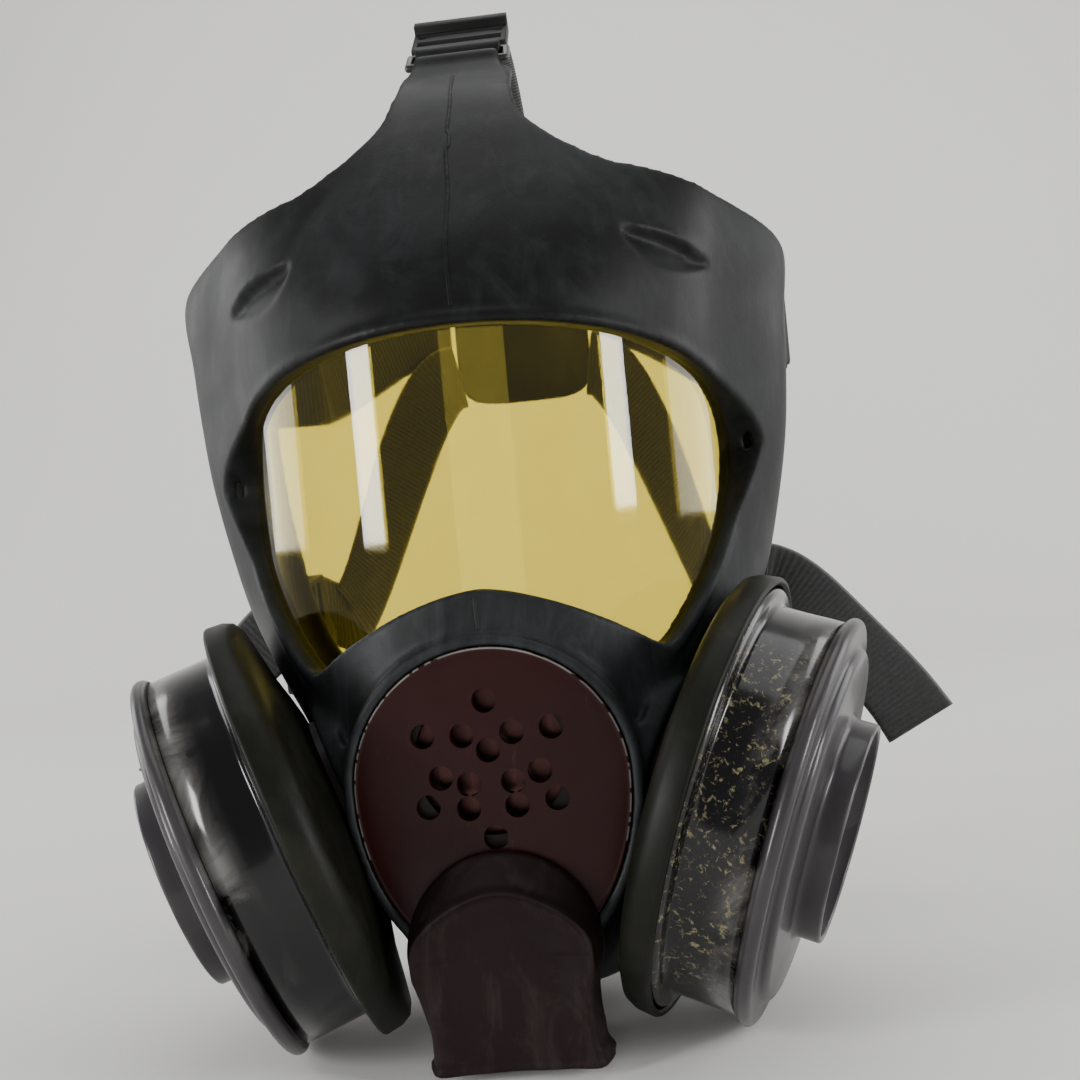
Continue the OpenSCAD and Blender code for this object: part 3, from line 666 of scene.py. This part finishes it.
def edge_low(th, g):
    a, far = np.abs(th), LENS_HALF_ANGLE + 0.8 * g
    arch = LENS_BRIDGE_Z - g - 21 * (a / LENS_CORNER_ANGLE) ** 1.6
    rest = np.maximum(1 - (a - LENS_CORNER_ANGLE) / (far - LENS_CORNER_ANGLE), 0)
    side = LENS_MID_Z - (53.3 + 1.3 * g) * rest**0.8
    return np.minimum((arch + side + np.sqrt((arch - side) ** 2 + 25)) / 2, edge_top(th, g) - 0.02)


def on_lens(r, th, z):
    th = np.radians(th)
    return np.stack([r * np.sin(th), LENS_Y - r * np.cos(th), z + 0 * th], -1)


def lens_angles(g, count, short=0.01):
    """Angles across the lens opening grown by g, denser towards its two side corners."""
    far = LENS_HALF_ANGLE + 0.8 * g - short
    return far * np.sin(np.linspace(-math.pi / 2, math.pi / 2, count))


def lens_band(name, r1, r2, g):
    th = lens_angles(g, 161)
    lo, hi = edge_low(th, g), edge_top(th, g)
    rings = [on_lens(r1, th, lo), on_lens(r1, th, hi), on_lens(r2, th, hi), on_lens(r2, th, lo)]
    return bar(name, np.stack(rings, 1) * MM)


def lens_outline(r, g):
    """A closed loop round the lens opening at radius r, grown by g."""
    th = lens_angles(g, 151)
    upper = on_lens(r, th, edge_top(th, g))
    lower = on_lens(r, th, edge_low(th, g))[::-1]
    return even_spacing(np.concatenate([upper, lower[1:-1]]), 320, True)


def even_spacing(path, count, closed=False):
    """The same path with evenly spaced points."""
    path = np.asarray(path, float)
    if closed:
        path = np.concatenate([path, path[:1]])
    s = np.concatenate([[0], np.cumsum(np.linalg.norm(np.diff(path, axis=0), axis=1))])
    at = np.linspace(0, s[-1], count, endpoint=not closed)
    return np.stack([np.interp(at, s, path[:, k]) for k in range(3)], -1)


def egg_ring(g, y):
    """The speech plate's outline grown by g, at depth y."""
    a = np.linspace(0, 2 * math.pi, 240, endpoint=False)
    rise = np.where(np.sin(a) > 0, PLATE_UP, PLATE_DOWN) + g
    return np.stack([(PLATE_HALF_W + g) * np.cos(a), y + 0 * a, PLATE_MID_Z + rise * np.sin(a)], -1)


def egg_rings(name, layers):
    """A closed solid through egg outlines; layers are (growth, y) from one face to the other."""
    rings = []
    for g, y in layers:
        rings.append(egg_ring(g, y) * MM)
    return bar(name, rings)


EDGE_V, EDGE_FALL, REAR_FALL, TAB_V = 16.0, 1.9, 0.55, 15.4
TAB_HALF = [60, 36, 21.5, 17.3, 16.5]
POCKET_IN, POCKET_OUT, POCKET_BELLY, POCKET_DEPTH = (44.5, 77.5), (67.0, 69.0), 7.5, 3.0
POCKET_CREST, POCKET_LIP = 1.8, 0.7


def pocket_depth(points):
    """How far each skin point is pressed in by the two leaf-shaped finger pockets."""
    x, z = np.abs(points[..., 0]), points[..., 2]
    start, end = np.array(POCKET_IN), np.array(POCKET_OUT)
    along = end - start
    length = np.linalg.norm(along)
    along /= length
    down = np.array([along[1], -along[0]])
    s = ((x - start[0]) * along[0] + (z - start[1]) * along[1]) / length
    d = (x - start[0]) * down[0] + (z - start[1]) * down[1]
    inside = (s > 0) & (s < 1) & (points[..., 1] < 45)
    bow = np.sin(math.pi * np.clip(s, 0, 1))
    belly = POCKET_BELLY * bow**0.7 + 1e-6
    crest = -POCKET_CREST * bow
    q = (d - crest) / (belly - crest)
    leaf = np.where(inside & (q > 0) & (q < 1), (1 - np.clip(q, 0, 1)) ** 0.8, 0.0)
    lip = np.where(inside, np.exp(-(((d - crest + 1.2) / 1.1) ** 2)) * bow, 0.0)
    return POCKET_DEPTH * leaf - POCKET_LIP * lip


def skin(name, t, v, pockets=False):
    """A stretch of the rubber skin; the inside follows the finger pockets part of the way."""
    outer, n = face_point(t, v), face_normal(t, v)
    press = pocket_depth(outer)[..., None] if pockets else 0.0
    inner = outer - n * (RUBBER_T + 0.6 * np.maximum(press, 0))
    return grid_solid(name, (outer - n * press) * MM, inner * MM)


def axis_place(side):
    """Local frame of a cartridge: +Z runs outwards along its axis from the inner seam bead."""
    joint = next(j for j in frame["joints"] if j["name"] == f"{side}_cartridge_turn")
    z = Vector(joint["axis"])
    x = Vector((0, 0, -1)) - z * z.dot(Vector((0, 0, -1)))
    x.normalize()
    y = z.cross(x)
    turn = Matrix((x, y, z)).transposed().to_4x4()
    return Matrix.Translation(Vector(joint["pos_m"])) @ turn


def cylinder(name, place, r1, r2, z0, z1):
    return revolve(name, [(AXIS_R, z0), (r1, z0), (r2, z1), (AXIS_R, z1)], place, 96)


ANCHORS = {
    "top": ((0, 47, 146.5), (0, 0.8, 0.6), (0, -0.6, 0.8)),
    "temple": ((90.6, 94, 60), (-0.03, 1, 0), (1, 0.03, 0)),
    "cheek": ((74.2, 84, -24), (-0.04, 0.98, 0.16), (1, 0.04, 0)),
}
BAIL_REACH, BUCKLE_L = 8.0, 22.0


def anchor_place(kind, mirrored=False):
    at, along, out = (np.array(v, float) for v in ANCHORS[kind])
    y = along / np.linalg.norm(along)
    z = out - y * (out @ y)
    z /= np.linalg.norm(z)
    x = np.cross(y, z)
    m = np.eye(4)
    m[:3, 0], m[:3, 1], m[:3, 2], m[:3, 3] = x, y, z, at * MM
    if mirrored:
        m = np.diag([-1, 1, 1, 1]) @ m
    return Matrix(m.tolist())


HEM_HALF, HEM_ROLL_R = 12.5, 3.2
# Sections of the ear behind the hem: place along it, width, thickness, and drop into the facepiece.
HEM_WEB = [(-6, 25, 5.4, 0), (-12, 26.5, 4.2, -0.7), (-18, 29, 3.4, -1.3), (-24, 32, 3.2, -1.6)]


def hem(place):
    """The rubber ear that holds a bail: a rounded hem with a flat root."""
    turn = 2 * math.pi * np.arange(24) / 24
    rings = []
    for x in np.linspace(-HEM_HALF, HEM_HALF, 12):
        rings.append([(x, HEM_ROLL_R * math.cos(a) - BAIL_REACH, HEM_ROLL_R * math.sin(a)) for a in turn])
    roll = bar("hem_roll", np.array(rings) * MM)
    web = []
    for y, w, t, drop in HEM_WEB:
        web.append([(x / 2, y, drop + z / 2) for x, z in ((-w, -t), (w, -t), (w, t), (-w, t))])
    plate = bar("hem_web", np.array(web) * MM)
    obj = join("hem", [roll, plate])
    obj.data.transform(place)
    return obj


# Cuts about a cartridge's axis: radii at the inner and outer end, and where the two ends are.
PORT_CUTS = [
    ("port_hole", 17.9, 17.9, -45, 15),
    ("port_pocket", 21, 21, -45, -17.2),
    ("port_seat", 30, 30, -14, 6),
    ("dish_room", 28, 63, -12.3, -3),
]


def build_facepiece():
    t = np.linspace(-1, 1, 421)[:, None]
    a = np.abs(t)
    top = EDGE_V - EDGE_FALL * np.minimum(a / FRONT_SPAN, 1) ** 1.8 - REAR_FALL * smooth_step((a - 0.6) / 0.4)
    v = top * np.linspace(0, 1, 331)[None, :]
    parts = [skin("main_skin", t + 0 * v, v, pockets=True)]

    vt = np.linspace(TAB_V, TOP_V, 111)[None, :]
    half = catmull(np.array(TAB_HALF, float)[:, None], vt - (TOP_V - len(TAB_HALF) + 1))[..., 0]
    width = catmull(STATIONS, vt)[..., 2]
    c = np.linspace(-1, 1, 91)[:, None]
    tt = FRONT_SPAN / 90 * np.degrees(np.arcsin(np.clip(c * half / width, -1, 1)))
    parts.append(skin("tab_skin", tt, vt + 0 * c))
    parts.append(lens_band("inner_lip", LENS_R - LENS_T - 2.2, LENS_R + 0.8, 9))
    parts.append(tube("lens_lip", lens_outline(LENS_R + 2.0, 1.6) * MM, 1.9 * MM, 12, True))
    parts.append(egg_rings("collar", [(2.8, PLATE_FRONT + 0.2), (3.0, -26), (3.0, -19)]))
    parts.append(tube("collar_lip", egg_ring(1.05, PLATE_FRONT + 0.5) * MM, 1.0 * MM, 12, True))
    for side in ("left", "right"):
        parts.append(cylinder("cheek_boss", axis_place(side), 30, 28, -19, -13.4))
    parts.append(hem(anchor_place("top")))
    for kind in ("temple", "cheek"):
        parts += [hem(anchor_place(kind)), hem(anchor_place(kind, True))]
    body = remesh(join("facepiece_rubber", parts), 0.9 * MM, 2)

    cut(body, lens_band("opening", 55, 95, 0))
    cut(body, egg_rings("plate_hole", [(0.05, -45), (0.05, -12)]))
    for side in ("left", "right"):
        for name, *sizes in PORT_CUTS:
            cut(body, cylinder(name, axis_place(side), *sizes))
    remesh(body, 0.85 * MM, 5)
    strips = [seam_strip(12.92, TOP_V - 0.12), seam_strip(8.35, 9.1)]
    body = join("facepiece_rubber", [body] + strips)
    solids = [n for n in frame["nodes"] if n.startswith("facepiece")]
    return finish_piece(body, "facepiece_rubber", replaces=solids)


def seam_strip(v0, v1):
    """The mould's parting line: a low, narrow ridge up the middle, kinked at one height."""
    v = np.linspace(v0, v1, 160)
    centre = face_point(np.zeros_like(v), v)
    kink = smooth_step((v - 16.2) / 0.12) * smooth_step((16.75 - v) / 0.2)
    centre[:, 0] += 0.35 * np.sin(v * 2.6) + 0.9 * kink
    n = face_normal(np.zeros_like(v), v)
    height = 0.30 + 0.10 * np.sin(v * 9) + 0.05 * np.sin(v * 31)
    rings = []
    for p, d, h in zip(centre, n, height):
        section = ((0.7, -0.6), (0.45, 0.6 * h), (0, h), (-0.45, 0.6 * h), (-0.7, -0.6))
        rings.append([p + d * rise + (x, 0, 0) for x, rise in section])
    return bar("seam", np.array(rings) * MM)


def build_lens():
    """The one-piece lens, its edges buried in the rubber groove."""
    g = 4.6
    th = lens_angles(g, 221, 0.02)[:, None]
    s = np.linspace(0, 1, 61)[None, :]
    z = edge_low(th, g) + (edge_top(th, g) - edge_low(th, g)) * s
    th = th + 0 * s
    obj = grid_solid("amber_lens", on_lens(LENS_R, th, z) * MM, on_lens(LENS_R - LENS_T, th, z) * MM)
    return finish_piece(obj, "lens", replaces=["lens"])


# ------------------------------------------------------------------ speech plate and hood
HOLE_R, SINK_R, SINK_T = 3.05, 3.3, 0.45
# The last of these is the width, in millimetres, of the painted highlight along the plate's rim.
PORT_R, PLATE_CROWN, RIM_HIGHLIGHT_W = 11.7, 0.6, 0.88


def sound_holes():
    half = [(16, -47), (6.2, -47.5), (12.3, -57.5), (5.5, -59.5), (16, -64.5), (6, -65.5)]
    return [(0, -39.3), (0, -51.5), (0, -73)] + [(s * x, z) for s in (1, -1) for x, z in half]


def y_place(x, z, y):
    """Local +Z points forwards (-Y) at the given place, in millimetres."""
    return Matrix.Translation(Vector((x, y, z)) * MM) @ Matrix.Rotation(math.pi / 2, 4, "X")


def build_speech_plate():
    """Egg-shaped plate with a soft rim step, a slight crown and fifteen countersunk holes."""
    layers = [(-0.3, -28.6), (-0.25, -30.6), (-0.40, -30.92), (-0.75, -31.0), (-1.1, -30.9), (-1.5, -30.95)]
    rings = [egg_ring(g, y) for g, y in layers]
    centre, rim = np.array([0, PLATE_FRONT, PLATE_MID_Z]), rings[-1]
    for k in np.linspace(0.93, 0.02, 26):
        ring = centre + (rim - centre) * [k, 1, k]
        ring[:, 1] = PLATE_FRONT - PLATE_CROWN * (1 - k**2)
        rings.append(ring)
    plate = bar("speech_plate_cover", np.array(rings) * MM)
    for x, z in sound_holes():
        outline = [(AXIS_R, -5), (HOLE_R, -5), (HOLE_R, SINK_T), (SINK_R, 2 * SINK_T), (AXIS_R, 2 * SINK_T)]
        cut(plate, revolve("hole", outline, y_place(x, z, PLATE_FRONT - 0.3), 48))
    low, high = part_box("exhalation_seat")
    cut(plate, cylinder("port", y_place(0, (low.z + high.z) / 2 / MM, PLATE_FRONT), PORT_R, PORT_R, -8, 5))
    plate.data.set_sharp_from_angle(angle=math.radians(28))
    finish_piece(plate, "speech_plate", replaces=["speech_plate"])
    # Paints a pale highlight along the plate's upper rim.
    paint_rim_highlight(plate)
    return plate


def paint_rim_highlight(plate):
    """A painted highlight: the plate's outer edge above the hood is painted pale, in a thin broken line."""
    plate.data.materials.append(MATERIALS["rim_highlight_paint"])
    for face in plate.data.polygons:
        x, y, z = face.center / MM
        rise = PLATE_UP if z > PLATE_MID_Z else PLATE_DOWN
        reach = math.hypot(x / PLATE_HALF_W, (z - PLATE_MID_Z) / rise)
        broken = math.sin(z * 0.9) + math.sin(z * 2.3 + x) > -0.9
        on_rim = y < PLATE_FRONT + 0.5 and 1 - reach < RIM_HIGHLIGHT_W / PLATE_HALF_W
        if on_rim and z > HOOD_TOP_Z and broken:
            # These rim faces get the pale material: a painted highlight.
            face.material_index = 1


HOOD_MID_Z, HOOD_R, HOOD_BACK = -100.0, 24.3, -31.6
HOOD_TOP_Z, HOOD_END_Z = -76.0, -127.3
ARC_MID_Z, ARC_HALF, ARC_RISE = -99.5, 22.0, 15.8
CREST, CREST_FALL, RIDGE, FACE_DROP, DISH, FLANGE_T = 11.6, 1.4, 2.3, 1.6, 1.6, 2.4
HOOD_WALL, BACK_WALL, MOUTH_BEAD_R = 2.1, 1.7, 1.1


def hood_half(z, left):
    """Half width of the hood: a round arch on top, a waist below it; the mouth flares on the left."""
    below = HOOD_MID_Z - z
    rise = np.maximum(-below, 0) / (HOOD_TOP_Z - HOOD_MID_Z)
    arch = HOOD_R * np.sqrt(np.maximum(1 - rise**2, 0.0004))
    waist = arch - 2.0 * smooth_step(below / 11)
    kick = 0.5 * smooth_step((below - 14) / 6) + 2.0 * np.exp(-(((below - 25.3) / 2.2) ** 2))
    return waist + np.where(left, kick, -2.1 * smooth_step((below - 8) / 12))


def hood_depth(x, z, half):
    """Depth of the skin: a bevelled flange, a raised arc round the face, and a dished face."""
    below = HOOD_MID_Z - z
    flange = np.where(below < 0, HOOD_R * (1 - np.hypot(x / HOOD_R, below / HOOD_R)), half - np.abs(x))
    flange = np.maximum(flange, 0)
    up = np.maximum(z - ARC_MID_Z, 0) / ARC_RISE
    arc_half = np.minimum(ARC_HALF, half - 1.8)
    face = (1 - np.hypot(x / arc_half, up)) * np.where(up > 0, ARC_RISE, arc_half)
    level = CREST - CREST_FALL * smooth_step(below / 26) - FACE_DROP
    edge = FLANGE_T * np.clip(flange / 0.8, 0, 1) ** 0.5
    bevel = flange / np.maximum(flange - face, 0.01)
    slope = edge + (level - edge) * np.clip(bevel, 0, 1) ** 0.9
    ridge = RIDGE * np.exp(-((face / 0.9) ** 2)) * smooth_step((12 - below) / 14)
    dish = DISH * smooth_step((face - 1.0) / 8)
    flat = level + 0.9 * smooth_step(face / 1.2) - dish
    return np.where(face < 0, slope, flat) + ridge


def build_hood():
    """Soft rubber bib: an arched flange, a raised arc, a dished front and a flared open mouth."""
    rows, cols = 220, 220
    z = HOOD_TOP_Z + (HOOD_END_Z - HOOD_TOP_Z) * np.linspace(0, 1, rows)[:, None] ** 1.15
    s = np.linspace(-1, 1, cols)[None, :]
    half = hood_half(z, s > 0)
    x = half * np.sin(math.pi / 2 * s)
    wave = 0.4 * np.sin(x * 0.30 + 1.3) * smooth_step((HOOD_MID_Z - z - 14) / 12)
    front = HOOD_BACK - hood_depth(x, z, half) + wave
    outer = np.stack([x, front, z + 0 * s], -1)
    xi = x * np.maximum(half - 2.0, 0.01) / half
    zi = np.minimum(z, HOOD_TOP_Z - 2.0) + 0 * s
    inner = np.stack([xi, np.minimum(HOOD_BACK + 0.6, front + HOOD_WALL), zi], -1)
    skin_front = grid_solid("hood_front", outer * MM, inner * MM)
    lip = outer[-1, 8:-8] + (0, 0.8, 0.4)
    back_z = np.linspace(-107, HOOD_END_Z, 30)[:, None]
    across = np.linspace(-1, 1, 40)[None, :]
    back_x = (hood_half(back_z, across > 0) - 1.6) * across
    bow = -0.9 * (1 - (back_x / HOOD_R) ** 2)
    back = np.stack([back_x, -32.9 + bow, back_z + 0 * back_x], -1)
    skin_back = grid_solid("hood_back", back * MM, (back + (0, BACK_WALL, 0)) * MM)
    bead = tube("mouth_bead", lip * MM, MOUTH_BEAD_R * MM, 10)
    obj = remesh(join("exhalation_hood_rubber", [skin_front, skin_back, bead]), 0.42 * MM, 3)
    return finish_piece(obj, "hood_rubber", replaces=["exhalation_hood"])


# ------------------------------------------------------------------ cartridges
BAND_R, BEAD_R, OUTER_R, CAN_LEN, COLLAR_R = 51.5, 56.0, 53.3, 24.0, 28.5


def arc(cx, cz, r, a0, a1, n):
    """Points of an (r, z) outline on an arc about (cx, cz), between two angles in degrees."""
    angles = np.radians(np.linspace(a0, a1, n))
    return [(cx + r * math.cos(a), cz + r * math.sin(a)) for a in angles]


def build_cartridge(side):
    place = axis_place(side)
    body = f"{side}_cartridge"
    can = [(12.4, -15), (14.43, -15), (14.43, -4.9), (22, -4.9), (22, -2.6), (40, -1.6), (48, -1.1)]
    can += arc(BEAD_R - 2.2, 1.4, 2.2, -110, 90, 14)
    can += arc(BAND_R + 1.6, 5.2, 1.6, 250, 180, 5) + [(BAND_R, 8), (BAND_R, 14), (BAND_R, CAN_LEN - 3.2)]
    can += [(BAND_R - 0.9, CAN_LEN - 3.2), (BAND_R - 0.9, 1.2), (14, 0.3), (12.4, -1)]
    shell = revolve(f"{side}_can", can, place, 200)
    worn = "cartridge_paint_worn" if side == "left" else None
    finish_piece(shell, "cartridge_paint", body, [f"{side}_cartridge_body"], worn)

    top = CAN_LEN + 4.5
    lid = [(BAND_R + 0.05, CAN_LEN - 3.0)] + arc(OUTER_R - 2.0, CAN_LEN - 0.6, 2.0, -50, 80, 12)
    lid += [(OUTER_R - 3.6, CAN_LEN + 1.0), (OUTER_R - 6, CAN_LEN + 1.3)]
    lid += arc(OUTER_R - 9.5, CAN_LEN + 1.3, 2.6, 10, 90, 8) + [(40, CAN_LEN + 4.1), (34, top)]
    lid += arc(COLLAR_R + 1.8, top + 1.8, 1.8, 270, 180, 6)
    lid += [(COLLAR_R, top + 3.4)] + arc(COLLAR_R - 0.75, top + 6.25, 0.75, 0, 180, 8)
    lid += [(COLLAR_R - 1.5, top - 0.3), (26, top - 0.5), (26, top - 1), (36, top - 1.2), (45, CAN_LEN + 2.2)]
    lid += [(50, CAN_LEN), (BAND_R + 0.05, CAN_LEN - 1.5)]
    cover = revolve(f"{side}_lid", lid, place, 200)
    finish_piece(cover, "lid_paint", body, [f"{side}_cartridge_lid"])

    finish_piece(build_screen(side, place, top), "screen_metal", body, [f"{side}_inlet_screen"])
    dish = [(18, -11.8), (27, -11.8), (33, -10.6), (40, -8.9), (48, -7.7), (54.6, -6.6), (57, -5.2)]
    dish += [(58.2, -2.6)] + arc(57.5, 1.6, 1.1, -10, 190, 8)
    dish += [(56.6, -1), (55, -4.2), (52, -5.6), (38, -7.2), (30, -8.6), (18, -9.2)]
    holder = revolve(f"{side}_holder", dish, place, 200)
    finish_piece(holder, "holder_rubber", "root", [f"{side}_cartridge_holder"])


def build_screen(side, place, top):
    """Pressed inlet screen: a disc of parallel corrugations inside the collar."""
    radius, pitch, n = COLLAR_R - 1.7, 2.6, 190
    xs = np.linspace(-radius, radius, n)
    outer, inner = [], []
    for x in xs:
        span = math.sqrt(max(radius**2 - x * x, 0.05))
        ys = np.linspace(-span, span, 24)
        wave = 1.0 + 0.75 * math.cos(2 * math.pi * x / pitch)
        outer.append([(x, y, top + 0.1 + wave) for y in ys])
        inner.append([(x, y, top + 0.1 + wave - 0.6) for y in ys])
    obj = grid_solid(f"{side}_screen", np.array(outer) * MM, np.array(inner) * MM)
    obj.data.transform(place)
    return obj


# ------------------------------------------------------------------ harness
HEAD_MID, HEAD_SIZE = np.array([0, 88.0, 60.0]), np.array([80.0, 97.0, 101.0])
STRAP_W, STRAP_T, RIB_PITCH = 25.0, 1.5, 1.7


def anchor_point(kind, along, out=0.0):
    at, y, z = (np.array(v, float) for v in ANCHORS[kind])
    y /= np.linalg.norm(y)
    z = z - y * (z @ y)
    return at + y * along + z / np.linalg.norm(z) * out


def out_of_head(p):
    low = np.array([p[0], p[1], max(p[2], HEAD_MID[2] - 20)])
    n = (low - HEAD_MID) / HEAD_SIZE**2
    return n / np.linalg.norm(n)


def spline_path(points, count):
    points = np.asarray(points, float)
    return catmull(points, np.linspace(0, len(points) - 1, count))


def ribbon(name, path, normals):
    """Elastic webbing: a flat band with raised crosswise cords and rounded selvedges."""
    length = np.linalg.norm(np.diff(path, axis=0), axis=1).sum()
    count = max(60, int(length / (RIB_PITCH / 5)))
    dense = even_spacing(path, count)
    at = np.linspace(0, len(normals) - 1, count)
    n = np.stack([np.interp(at, np.arange(len(normals)), np.asarray(normals)[:, k]) for k in range(3)], -1)
    d = np.gradient(dense, axis=0)
    d /= np.linalg.norm(d, axis=1)[:, None]
    side = np.cross(d, n)
    side /= np.linalg.norm(side, axis=1)[:, None]
    out = np.cross(side, d)
    u = np.linspace(-1, 1, 19)
    run = np.linspace(0, length, count)
    rib = 0.16 * np.cos(2 * math.pi * run / RIB_PITCH)
    swell = STRAP_T / 2 * (1 - np.abs(u) ** 6) ** 0.5
    rings = []
    for p, s, o, r in zip(dense, side, out, rib):
        heights = list(zip(u, swell + r * (1 - np.abs(u) ** 8)))
        upper = [p + s * STRAP_W / 2 * a + o * h for a, h in heights]
        lower = [p + s * STRAP_W / 2 * a - o * h for a, h in heights[-2:0:-1]]
        rings.append(upper + lower)
    return bar(name, np.array(rings) * MM)


def strap_start(kind, clear):
    """The first points of a strap: inside its buckle, past its end, and clear of it."""
    return [anchor_point(kind, along) for along in (15.5, BUCKLE_L + 2.5, BUCKLE_L + clear)]


def strap_paths():
    """Centre lines of the three kinds of strap, from inside the buckle to the crown pad."""
    b = np.radians(94 - 66 * np.arange(15) / 14)
    top = strap_start("top", 8.5)
    top += [HEAD_MID + HEAD_SIZE * np.array([0, math.cos(a), math.sin(a)]) for a in b]
    i = np.arange(1, 15)
    b = np.radians(24 + 46.0 * i / 14)
    round_head = [84 * np.cos(b), HEAD_MID[1] + 99.5 * np.sin(b), 60 + 26 * smooth_step(i / 14)]
    temple = strap_start("temple", 7.5) + list(np.stack(round_head, -1))
    b = np.radians(22 + 47.5 * i / 14)
    y = HEAD_MID[1] + 97 * np.sin(b) - 7 * (1 - i / 14)
    round_head = [75 * np.cos(b), y, -24 + 90 * smooth_step(i / 14)]
    cheek = strap_start("cheek", 7.5) + list(np.stack(round_head, -1))
    return {"top": top, "temple": temple, "cheek": cheek}


def build_straps():
    for kind, points in strap_paths().items():
        path = spline_path(points, 240)
        normals = [out_of_head(p) for p in path]
        start = tuple(anchor_point(kind, BUCKLE_L - 2) * MM)
        end = tuple(anchor_point(kind, BUCKLE_L + 22) * MM)
        for side in ([""] if kind == "top" else ["left_", "right_"]):
            flip = np.array([-1.0 if side == "right_" else 1.0, 1, 1])
            obj = ribbon(f"{side}{kind}_webbing", path * flip, np.array(normals) * flip)
            finish_piece(obj, "webbing", None, [f"{side}{kind}_strap"])
            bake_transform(obj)


TAIL_PATH = [
    [79.5, 97.5, -21.5], [82, 99, -22.3], [87, 98, -25], [94, 96, -31],
    [103, 93, -41], [112, 89, -52], [119, 86, -62], [124, 83, -71],
]


def build_tails():
    """The cheek straps' loose ends, curled and drooping past their buckles."""
    path = spline_path(TAIL_PATH, 160)
    s = np.linspace(0, 1, len(path))
    normals = np.stack([0.15 + 0.25 * np.sin(3 * s), -1 + 0 * s, 0.25 * np.sin(2.2 * s)], -1)
    for side in ("left", "right"):
        flip = np.array([-1.0 if side == "right" else 1.0, 1, 1])
        obj = ribbon(f"{side}_cheek_webbing_end", path * flip, normals * flip)
        finish_piece(obj, "webbing", f"{side}_cheek_buckle_body", [f"{side}_cheek_tail"])


def build_pad():
    """Crown pad: a soft rubber plate, thicker in the middle, with a raised rim."""
    half_w, half_h, mid_z = 27.0, 24, 78.0
    x = half_w * np.linspace(-1, 1, 70)[:, None]
    h = np.linspace(-1, 1, 60)[None, :]
    corner = (np.abs(x / half_w) ** 5 + np.abs(h) ** 5) ** 0.2
    squeeze = 1 / np.maximum(1.0, corner)
    px, pz = x * squeeze + 0 * h, mid_z + half_h * h * squeeze
    y = HEAD_MID[1] + 98.4 * np.cos(np.arcsin(np.clip(px / 84, -1, 1)))
    edge = np.clip(np.minimum(1, corner), 0, 1)
    rim = 0.7 * np.exp(-(((edge - 0.90) / 0.05) ** 2))
    outer = np.stack([px, y + 1.1 + rim - 0.6 * edge**8, pz], -1)
    inner = np.stack([px, y - 1.3 + 0.5 * edge**8, pz], -1)
    obj = remesh(grid_solid("crown_pad_rubber", outer * MM, inner * MM), 0.7 * MM, 3)
    finish_piece(obj, "pad_rubber", "root", ["crown_pad"])


# ------------------------------------------------------------------ CAD nodes that keep their own shape
SLOTS = {part["node"]: part["material_slot"] for part in frame["record"]["subparts"]}


def build_small_parts():
    """Bails and buckles: the CAD shapes with rounded edges, as pieces of their own."""
    for body, nodes in frame["record"]["behaviour"]["bodies"].items():
        for name in nodes:
            if not name.endswith(("_bail", "_buckle")):
                continue
            obj = bpy.data.objects.new(f"{name}_piece", frame["nodes"][name].data.copy())
            bpy.context.scene.collection.objects.link(obj)
            weld = obj.modifiers.new("weld", "WELD")
            weld.merge_threshold = 0.01 * MM
            bevel = obj.modifiers.new("bevel", "BEVEL")
            bevel.width = 0.35 * MM
            bevel.segments = 2
            bevel.limit_method = "ANGLE"
            bevel.angle_limit = math.radians(40)
            bevel.harden_normals = False
            apply_modifiers(obj)
            finish_piece(obj, SLOTS[name], body, [name])


def finish_cad_nodes():
    """Detailed materials for the CAD pieces that stay as they are."""
    for name, obj in frame["nodes"].items():
        if not obj.hide_render:
            obj.data.materials.clear()
            obj.data.materials.append(MATERIALS[SLOTS[name]])


build_camera()
build_stage()
build_lights()
build_facepiece()
build_lens()
build_speech_plate()
build_hood()
for cartridge_side in ("left", "right"):
    build_cartridge(cartridge_side)
build_straps()
build_tails()
build_pad()
build_small_parts()
finish_cad_nodes()
